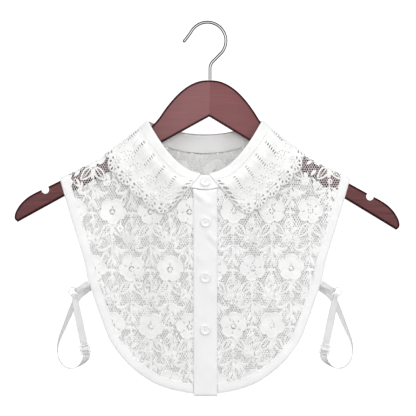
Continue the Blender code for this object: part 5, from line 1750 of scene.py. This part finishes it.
def wooden_arm(name, hand, lean, painted_sheen_colour, node):
    top = smooth_curve(BOARD_SHOULDER, each=7)
    top[0, 0] = JOINT_GAP / 2
    apex = [(JOINT_GAP / 2, BOARD_APEX - BOARD_LOWER_SLOPE * JOINT_GAP / 2)]
    outline = [tilted(x * hand, z) for x, z in np.vstack([top, apex])]
    half = BOARD_THICK / 2
    arm = begin(bpy.ops.mesh.primitive_circle_add, vertices=len(outline), radius=0.1, fill_type="NGON")
    mesh = bmesh.from_edit_mesh(arm.data)
    mesh.verts.ensure_lookup_table()
    for vertex, (x, z) in zip(mesh.verts, outline):
        vertex.co = (x * MM, -half * MM, z * MM)
    bmesh.update_edit_mesh(arm.data)
    bpy.ops.mesh.select_all(action="SELECT")
    pull(0, BOARD_THICK, 0)
    joint_x = tilted(JOINT_GAP / 2 * hand, BOARD_TOP)[0]

    def long_edge(places, _):
        on_face = abs(abs(places[:, 1].mean()) - half) < 0.01 and abs(places[0, 1] - places[1, 1]) < 0.01
        return on_face and np.abs(places[:, 0] - joint_x).max() > 1.2

    pick(arm, "EDGE", long_edge)
    bpy.ops.mesh.bevel(offset=BOARD_EDGE * MM, segments=5, profile=0.5, affect="EDGES")
    hand_over(arm, name, wood_finish(name + "_wood", lean, painted_sheen_colour), [node], sharp=40)
    x, z = tilted(NOTCH_CENTRE[0] * hand, NOTCH_CENTRE[1])
    bpy.ops.mesh.primitive_cylinder_add(
        vertices=48, radius=NOTCH_RADIUS * MM, depth=BOARD_THICK * 2 * MM, location=(x * MM, 0, z * MM),
        rotation=(math.radians(90), 0, 0))
    cut_away(arm, bpy.context.object)
    arm.data.set_sharp_from_angle(angle=math.radians(40))
    print(name, "triangles:", triangles_of(arm), "open edges:", open_edges(arm))
    return arm


ARM_LEAN = math.radians(28)
# Each arm gets its own painted sheen colour: paler and pinker on the left, darker on the right.
arm_left = wooden_arm("wooden_arm_left", -1, -ARM_LEAN, (0.33, 0.145, 0.15), "hanger_board_left")
arm_right = wooden_arm("wooden_arm_right", 1, ARM_LEAN, (0.27, 0.095, 0.095), "hanger_board_right")

# %% [markdown]
# ## The chrome hook
#
# A hook is bent from one wire. It starts as a circle of the wire's size on top of the wood, is pulled up
# for the stem, then spun round three centres: a short bend to the right, the big bow over the rail,
# and the flare of its open end. The end is rounded off by pulling twice while shrinking.

# %% The hook
WIRE = 3.6
BOW_CENTRE_X, BOW_INNER = -3.0, 19.5
BOW_START, BOW_END = -45.0, 147.5
NECK_BEND = 12.0
FLARE_TURN, FLARE_LENGTH = 8.0, 15.0


def spin_on(degrees, centre_x, centre_z, steps):
    bpy.ops.mesh.spin(
        steps=steps, dupli=False, angle=-math.radians(degrees), use_auto_merge=False,
        center=(centre_x * MM, 0, centre_z * MM), axis=(0, 1, 0))


bow_radius = BOW_INNER + WIRE / 2
bow_centre = np.array([BOW_CENTRE_X, -math.sqrt(BOW_INNER**2 - BOW_CENTRE_X**2)])
start = math.radians(BOW_START)
bow_start = bow_centre + bow_radius * np.array([math.cos(start), math.sin(start)])
bend_foot = bow_start[1] - bow_start[0] - NECK_BEND * math.tan(math.radians(22.5))
hook_foot = BOARD_TOP + 0.3
hook_piece = begin(
    bpy.ops.mesh.primitive_circle_add, vertices=24, radius=WIRE / 2 * MM, fill_type="NOTHING",
    location=(0, 0, hook_foot * MM))
bpy.ops.mesh.select_all(action="SELECT")
pull(0, 0, bend_foot - hook_foot)
spin_on(45, NECK_BEND, bend_foot, 8)
bend_end = NECK_BEND * (1 - math.cos(math.radians(45))), bend_foot + NECK_BEND * math.sin(math.radians(45))
pull(bow_start[0] - bend_end[0], 0, bow_start[1] - bend_end[1])
spin_on(-(BOW_END - BOW_START), *bow_centre, 64)
end = math.radians(BOW_END)
heading = np.array([math.cos(end + math.pi / 2), math.sin(end + math.pi / 2)])
flare_radius = FLARE_LENGTH / math.radians(FLARE_TURN)
flare_centre = bow_centre + bow_radius * np.array([math.cos(end), math.sin(end)])
flare_centre = flare_centre + flare_radius * np.array([heading[1], -heading[0]])
spin_on(FLARE_TURN, *flare_centre, 8)
turned = end + math.pi / 2 - math.radians(FLARE_TURN)
for reach, shrink in ((0.5, 0.93), (0.5, 0.8), (0.4, 0.55)):
    pull(reach * math.cos(turned), 0, reach * math.sin(turned))
    bpy.ops.transform.resize(value=(shrink, shrink, shrink))
bpy.ops.mesh.edge_face_add()
pick(hook_piece, "VERT", lambda places, _: abs(places[0, 2] - hook_foot) < 0.01)
bpy.ops.mesh.edge_face_add()
hand_over(hook_piece, "chrome_hook", chrome_finish, ["hanger_hook"], sharp=60)
print("chrome_hook triangles:", triangles_of(hook_piece), "open edges:", open_edges(hook_piece))

# %% [markdown]
# ## The buttons
#
# Four moulded shirt buttons lie on the closing. One is turned from a cylinder: a rounded rim, a dished
# middle and four holes. It is copied to its four seats, each copy turned to lie flat on the cloth.
# Two short threads cross in each.

# %% One button
BUTTON_RADIUS = 5.75
HOLE_AWAY, HOLE_RADIUS = 1.15, 0.62
DISH = 1.5


def disc(places, direction, up):
    return direction.z * up > 0.9


first_button = begin(
    bpy.ops.mesh.primitive_cylinder_add, vertices=48, radius=BUTTON_RADIUS * MM, depth=1.9 * MM,
    location=(0, 0, 0.95 * MM))
pick(first_button, "FACE", lambda places, direction: disc(places, direction, 1))
for thickness, rise in ((0.28, 0.4), (0.37, 0.22), (0.6, 0.0), (0.4, -0.25), (0.5, -0.62), (0.5, -0.15), (0.8, 0.0)):
    bpy.ops.mesh.inset(thickness=thickness * MM, depth=rise * MM)
pick(first_button, "FACE", lambda places, direction: disc(places, direction, -1))
bpy.ops.mesh.inset(thickness=0.9 * MM, depth=0.0)
pick(first_button, "EDGE", lambda places, _: places[:, 2].max() < 0.01 and np.hypot(*places[:, :2].T).min() > 5.7)
bpy.ops.mesh.bevel(offset=0.8 * MM, segments=3, profile=0.5, affect="EDGES")
hand_over(first_button, "button_first", pearl_finish, sharp=60)
for number in range(4):
    angle = math.radians(45 + 90 * number)
    bpy.ops.mesh.primitive_cylinder_add(
        vertices=16, radius=HOLE_RADIUS * MM, depth=8 * MM,
        location=(HOLE_AWAY * math.cos(angle) * MM, HOLE_AWAY * math.sin(angle) * MM, 1 * MM))
    cut_away(first_button, bpy.context.object)
first_button.data.set_sharp_from_angle(angle=math.radians(60))
print("button triangles:", triangles_of(first_button), "open edges:", open_edges(first_button))

first_thread = begin(
    bpy.ops.mesh.primitive_cylinder_add, vertices=10, radius=0.34 * MM, depth=2.9 * MM,
    location=(0, 0, (DISH + 0.2) * MM), rotation=(0, math.radians(90), 0))
pick(first_thread, "FACE", lambda places, direction: abs(direction.x) > 0.9)
bpy.ops.mesh.inset(thickness=0.12 * MM, depth=0.12 * MM)
pick(first_thread, "VERT", lambda places, _: abs(places[0, 0]) > 1.3)
bpy.ops.transform.translate(value=(0, 0, -0.35 * MM))
hand_over(first_thread, "thread_first", stitch_finish, sharp=80)

# %% Sewing the buttons on
BUTTON_U = 0.5
BUTTON_HEIGHTS = [-183.0, -227.0, -290.0, -349.5]


def button_seat(height):
    """The place on the closing and the way it faces."""
    if height > neck_height(0.0, FRONT):
        angle = math.asin(BUTTON_U / STAND_SIDE[0])
        head, foot = stand_point(angle, 0.0)[2], stand_point(angle, 1.0)[2]
        fraction = (head - height) / (head - foot)
        normal = stand_normal(angle, fraction)
        return stand_point(angle, fraction) + normal * (LAP + 0.5 + 0.3), normal
    drop = float(shoulder(BUTTON_U)) - height
    normal = body_normal(BUTTON_U, drop, FRONT)
    return body_point(BUTTON_U, drop, FRONT) + normal * (CLOTH / 2 + 0.3 + 1.4 + 0.3), normal


def copy_to(piece, name, matrix, nodes=()):
    """A copy with its own mesh, moved in its mesh."""
    mesh = piece.data.copy()
    mesh.transform(matrix)
    copy = bpy.data.objects.new(name, mesh)
    bpy.context.scene.collection.objects.link(copy)
    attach(copy, "root")
    if nodes:
        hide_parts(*nodes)
    return copy


button_pieces, thread_pieces = [], []
for number, height in enumerate(BUTTON_HEIGHTS, 1):
    seat, normal = button_seat(height)
    facing = Vector(normal).to_track_quat("Z", "Y").to_matrix().to_4x4()
    spun = Matrix.Rotation(math.radians((12, -20, 33, 5)[number - 1]), 4, "Z")
    place = Matrix.Translation(Vector(seat) * MM) @ facing @ spun
    button_pieces.append(
        copy_to(first_button, f"shirt_button_{number}", place, [f"button_{number}"]))
    for crossing in (45, 135):
        turned = place @ Matrix.Rotation(math.radians(crossing), 4, "Z")
        thread_pieces.append(copy_to(first_thread, f"button_thread_{number}_{crossing}", turned))
for pattern in (first_button, first_thread):
    bpy.data.objects.remove(pattern)
print("buttons:", len(button_pieces), "threads:", len(thread_pieces))

# %% [markdown]
# ## Rings and sliders
#
# At each side a milky plastic ring joins the ribbon tab to the elastic, and a slider with a middle bar
# sets the elastic's length. The ring is a torus flattened on its outer side by the mould. The slider is
# a small grid with two windows taken out, pulled to its thickness and rounded.

# %% Ring and slider
RING_CENTRE = (151.0, -9.0, -307.5)
RING_MIDDLE, RING_WIRE = 5.0, 1.6
SLIDER_CENTRE = (137.0, -11.2, -373.5)
SLIDER_OUTER = (12.0, 11.0)
SLIDER_WINDOW = (8.8, 3.4)
SLIDER_THICK, SLIDER_LEAN = 1.4, 12.0


def plastic_ring(name, hand, node):
    x, y, z = RING_CENTRE[0] * hand + GARMENT_X, RING_CENTRE[1], RING_CENTRE[2]
    ring = begin(
        bpy.ops.mesh.primitive_torus_add, major_radius=RING_MIDDLE * MM, minor_radius=RING_WIRE / 2 * MM,
        major_segments=56, minor_segments=16, location=(x * MM, y * MM, z * MM),
        rotation=(math.radians(90), 0, 0))
    outside = RING_MIDDLE + RING_WIRE / 2 * 0.6
    pick(ring, "VERT", lambda places, _: np.hypot(places[0, 0] - x, places[0, 2] - z) > outside)
    bpy.ops.transform.resize(value=(0.985, 1.06, 0.985), center_override=(x * MM, y * MM, z * MM))
    return hand_over(ring, name, plastic_finish, [node], sharp=80)


def plastic_slider(name, hand, node):
    middle = np.array([SLIDER_CENTRE[0] * hand + GARMENT_X, SLIDER_CENTRE[1], SLIDER_CENTRE[2]])
    wide, tall = SLIDER_OUTER
    across = [-wide / 2, -SLIDER_WINDOW[0] / 2, SLIDER_WINDOW[0] / 2, wide / 2]
    up = [-tall / 2, -0.6 - SLIDER_WINDOW[1], -0.6, 0.6, 0.6 + SLIDER_WINDOW[1], tall / 2]
    slider = begin(bpy.ops.mesh.primitive_grid_add, x_subdivisions=3, y_subdivisions=5, size=1)
    lean = math.radians(SLIDER_LEAN) * hand
    mesh = bmesh.from_edit_mesh(slider.data)
    for vertex in mesh.verts:
        x = across[round((vertex.co.x + 0.5) * 3)]
        z = up[round((vertex.co.y + 0.5) * 5)]
        turned = (x * math.cos(lean) + z * math.sin(lean), -SLIDER_THICK / 2, -x * math.sin(lean) + z * math.cos(lean))
        vertex.co = (middle + turned) * MM
    bmesh.update_edit_mesh(slider.data)

    def window(places, _):
        x, _, z = places.mean(axis=0) - middle
        x, z = x * math.cos(lean) - z * math.sin(lean), x * math.sin(lean) + z * math.cos(lean)
        return abs(x) < 1 and 1 < abs(z) < 3.6

    pick(slider, "FACE", window)
    bpy.ops.mesh.delete(type="FACE")
    bpy.ops.mesh.select_all(action="SELECT")
    pull(0, SLIDER_THICK, 0)
    bpy.ops.mesh.select_all(action="SELECT")
    bpy.ops.mesh.normals_make_consistent(inside=False)
    hand_over(slider, name, plastic_finish, [node], sharp=60)
    apply_modifier(slider, "BEVEL", width=0.4 * MM, segments=3, limit_method="ANGLE", angle_limit=math.radians(50))
    return slider


for side_name, hand in (("left", -1), ("right", 1)):
    made = plastic_ring(f"plastic_ring_{side_name}", hand, f"strap_ring_{side_name}")
    print(made.name, "triangles:", triangles_of(made), "open edges:", open_edges(made))
    made = plastic_slider(f"plastic_slider_{side_name}", hand, f"strap_slider_{side_name}")
    print(made.name, "triangles:", triangles_of(made), "open edges:", open_edges(made))

# %% [markdown]
# ## Elastic straps and tabs
#
# The elastic runs from the slider up through the ring, back down through the slider, and round in a
# slack loop to the back edge. It is a flat band that follows a path of listed points, with fine
# ribs along it. The tab is a doubled ribbon sewn to the front edge with a dark bar of stitches.

# %% Paths of the straps
STRAP_WIDTH, TAB_WIDTH, STRAP_CLOTH = 8.0, 4.6, 0.8
TAB_HEIGHT, STRAP_BACK_HEIGHT = -298.0, -303.0
SLIDER_BAR, SLIDER_WEAVE = 4.75, 2.0
LAYER = RING_WIRE / 2 + 0.6 + STRAP_CLOTH / 2
STRAP_LOOP = [
    # half width, y, height, twist of the width towards the viewer
    (136.2, -9.0, -382.5, 20), (139.0, -8.0, -387.5, 55), (144.5, -6.5, -392.4, 80),
    (152.5, -5.0, -395.6, 90), (161.5, -3.4, -393.2, 90), (167.8, -1.8, -385.2, 88),
    (169.6, -0.4, -374.0, 80), (167.2, 1.0, -362.0, 68), (162.2, 2.4, -349.5, 56),
    (156.6, 3.8, -335.5, 46), (151.0, 5.2, -322.5, 36), (144.4, 6.8, -312.2, 22),
]


def outline_place(height, gap):
    """A place this far outside the side's edge, and the way out from the edge there."""
    length = np.interp(height, OUTLINE[:, 1], OUTLINE_LENGTHS)
    edge = edge_point(np.array(length), 0.0)
    outside = edge_point(np.array(length), -gap)
    return outside, (outside - edge) / np.linalg.norm(outside - edge)


def tab_path(hand):
    """Rows of u, y, height, twist and width for the tab's loop."""
    (edge_u, edge_height), outward = outline_place(TAB_HEIGHT, 0.75)
    middle = -float(depth(np.array(hand * edge_u), np.array(shoulder(edge_u) - edge_height), FRONT)) - CLOTH / 3
    ring_u, ring_y, ring_height = RING_CENTRE
    toward = np.array([edge_u - ring_u, edge_height - ring_height])
    toward /= np.linalg.norm(toward)
    wire_at = np.array([ring_u, ring_height]) + toward * RING_MIDDLE
    near = wire_at + toward * 2.5
    halves = []
    for face in (-1, 1):
        out = edge_u + outward[0] * 2.5, edge_height + outward[1] * 2.5
        halves.append([
            (edge_u, middle + face * 0.75, edge_height, 0, TAB_WIDTH + 2.5),
            (out[0], middle + face * 0.9, out[1], 0, TAB_WIDTH + 2),
            (near[0], ring_y + face * LAYER, near[1], 0, TAB_WIDTH),
            (wire_at[0], ring_y + face * LAYER, wire_at[1], 0, TAB_WIDTH),
        ])
    bend = wire_at - toward * (LAYER + 0.9)
    return halves[0] + [(bend[0], ring_y, bend[1], 0, TAB_WIDTH)] + halves[1][::-1]


def strap_path(hand):
    """Rows of u, y, height, twist and width from the slider through the ring and round to the back."""
    ring, slider = np.array(RING_CENTRE), np.array(SLIDER_CENTRE)
    down = (slider - ring) * [1, 0, 1]
    span = np.linalg.norm(down)
    down /= span
    ring_y, slider_y = ring[1], slider[1]
    steps = [
        # length down from the ring's centre, y, width
        (span - 11.5, ring_y + 0.7, STRAP_WIDTH), (span * 0.5, ring_y + 1.0, STRAP_WIDTH),
        (RING_MIDDLE + 9, ring_y + LAYER, STRAP_WIDTH - 1), (RING_MIDDLE + 2.5, ring_y + LAYER, TAB_WIDTH),
        (RING_MIDDLE, ring_y + LAYER, TAB_WIDTH), (RING_MIDDLE - LAYER - 0.9, ring_y, TAB_WIDTH),
        (RING_MIDDLE, ring_y - LAYER, TAB_WIDTH), (RING_MIDDLE + 2.5, ring_y - LAYER, TAB_WIDTH),
        (RING_MIDDLE + 9, ring_y - LAYER, STRAP_WIDTH - 1), (span * 0.5, ring_y - LAYER, STRAP_WIDTH),
        (span - 12, slider_y + 0.9, STRAP_WIDTH),
    ]
    rows = [(*(ring + down * along)[[0]], y, (ring + down * along)[2], 0, width) for along, y, width in steps]
    for share in (-1.35, -1.0, -0.5, 0.0, 0.5, 1.0):
        weave = -SLIDER_WEAVE * math.cos(math.pi * share) if share >= -1.0 else SLIDER_WEAVE * 0.8
        place = slider + down * share * SLIDER_BAR
        rows.append((place[0], slider_y + weave, place[2], 0, STRAP_WIDTH))
    rows += [(u, y, height, twist, STRAP_WIDTH) for u, y, height, twist in STRAP_LOOP]
    (end_u, end_height), outward = outline_place(STRAP_BACK_HEIGHT, 1.2)
    end_y = float(depth(np.array(hand * end_u), np.array(shoulder(end_u) - end_height), BACK)) + CLOTH / 3
    rows.append((end_u + outward[0] * 3, end_y - 0.3, end_height + outward[1] * 3, 0, STRAP_WIDTH))
    rows.append((end_u, end_y, end_height, 0, STRAP_WIDTH))
    return rows


# %% Weaving the straps
RIBS = 9


def band_frame(rows, hand, each):
    """Middle line, width direction and face direction of a band along a path."""
    fine = smooth_curve(rows, each)
    path = fine[:, :3] * [hand, 1, 1] + [GARMENT_X, 0, 0]
    along = np.gradient(path, axis=0)
    along /= np.linalg.norm(along, axis=1, keepdims=True)
    toward = np.array([0.0, -1.0, 0.0])
    flat = np.cross(along, toward)
    for i in range(1, len(path)):
        if np.linalg.norm(flat[i]) < 0.35:
            flat[i] = flat[i - 1]
        elif np.dot(flat[i], flat[i - 1]) < 0:
            flat[i] *= -1
    flat /= np.linalg.norm(flat, axis=1, keepdims=True)
    turned = np.radians(fine[:, 3] * hand)[:, None]
    across = flat * np.cos(turned) + toward * np.sin(turned)
    across -= along * np.sum(across * along, axis=1, keepdims=True)
    across /= np.linalg.norm(across, axis=1, keepdims=True)
    return path, across, np.cross(along, across), fine[:, 4]


def band_piece(name, rows, hand, node, each=7):
    path, across, face, widths = band_frame(rows, hand, each)
    places = np.linspace(-1, 1, RIBS * 2 + 1)
    ribs = STRAP_CLOTH / 2 * (0.86 + 0.14 * np.cos(np.arange(len(places)) * math.pi))
    ribs[[0, -1]] = STRAP_CLOTH / 2 * 0.55
    middle = path[:, None] + across[:, None] * (places[None, :] * widths[:, None] / 2)[..., None]
    half = face[:, None] * ribs[None, :, None]
    points, faces = closed_wall(middle + half, middle - half)
    along = lengths_along(path)
    flat = np.stack(np.broadcast_arrays(places[None, :] * 4.0, along[:, None]), -1).reshape(-1, 2)
    piece = make_piece(name, points, faces, elastic_finish, [node], uv=np.concatenate([flat, flat]))
    turn_outwards(piece)
    print(name, "triangles:", triangles_of(piece), "length:", round(along[-1]), "mm")
    return piece, (path, across, face, widths, along)


def sewn_bar(frame_of_band, at_length, rows, lift):
    """A dense bar of stitches across a band."""
    path, across, face, widths, along = frame_of_band
    stitches = []
    for row in range(rows):
        where = at_length + row * 0.7
        centre = point_at(path, along, where)
        side = point_at(across, along, where)
        up = point_at(face, along, where)
        wide = float(np.interp(where, along, widths))
        shares = np.linspace(-0.52, 0.52, 7)[:, None]
        for out in (-1, 1):
            line = centre + side * shares * wide + up * lift * out
            stitches.append(stitch_grains(line, np.broadcast_to(up * out, line.shape), 1.1, 1.3))
    return stitches


straps, tabs, bars = [], [], []
for side_name, hand in (("left", -1), ("right", 1)):
    strap, strap_frame = band_piece(f"elastic_{side_name}", strap_path(hand), hand, f"strap_{side_name}")
    tab, tab_frame = band_piece(f"ribbon_tab_{side_name}", tab_path(hand), hand, f"strap_tab_{side_name}", each=9)
    straps.append(strap)
    tabs.append(tab)
    bars += sewn_bar(strap_frame, 0.8, 3, STRAP_CLOTH / 2)
    bars += sewn_bar(strap_frame, strap_frame[4][-1] - 2.4, 3, STRAP_CLOTH / 2)
    bars += sewn_bar(tab_frame, 1.2, 4, STRAP_CLOTH / 2)
bar_stitches = stitch_piece("strap_stitches", bars)
print("strap stitches:", triangles_of(bar_stitches), "triangles")

# %% [markdown]
# ## Flat sizes of the cut pieces
#
# Cloth keeps its area when it hangs, so the area of the flat cloth that shows is worked out for the lace panels and the
# collar, and printed beside the area of the made surface.
# The panels aren't rectangles, and their areas come from the same outlines that shaped them.


# %% Areas of the cut pieces
def panel_area(side, low_u, high_u):
    """Flat area of a panel from its outline, in square metres, with what the roll takes up."""
    u = np.linspace(low_u, high_u, 400)
    inner = edge_point(np.linspace(0, OUTLINE_LENGTH, 800), 0.0)
    foot = np.interp(np.abs(u), inner[:, 0], inner[:, 1])
    head = np.where(np.abs(u) < NECK_WIDTH, neck_height(u, side), shoulder(u) + ROLL_EXTRA)
    return float(np.maximum(head - foot, 0).mean() * (high_u - low_u)) * 1e-6


def surface(piece):
    return sum(face.area for face in piece.data.polygons)


left_area = panel_area(FRONT, -166.5, LEFT_PANEL_END)
right_area = panel_area(FRONT, RIGHT_PANEL_START, 166.5)
back_area = panel_area(BACK, -166.5, 166.5)
fall_area = 2 * float(np.sum(np.linalg.norm(np.cross(
    np.diff(FALL_POINTS, axis=0)[:, :-1], np.diff(FALL_POINTS, axis=1)[:-1]), axis=-1))) * 1e-6
for piece, area in ((left_lace, left_area), (right_lace, right_area), (back_lace, back_area), (collar_piece, 2 * fall_area)):
    print(piece.name, "cut area", round(area, 4), "made surface", round(surface(piece), 4))
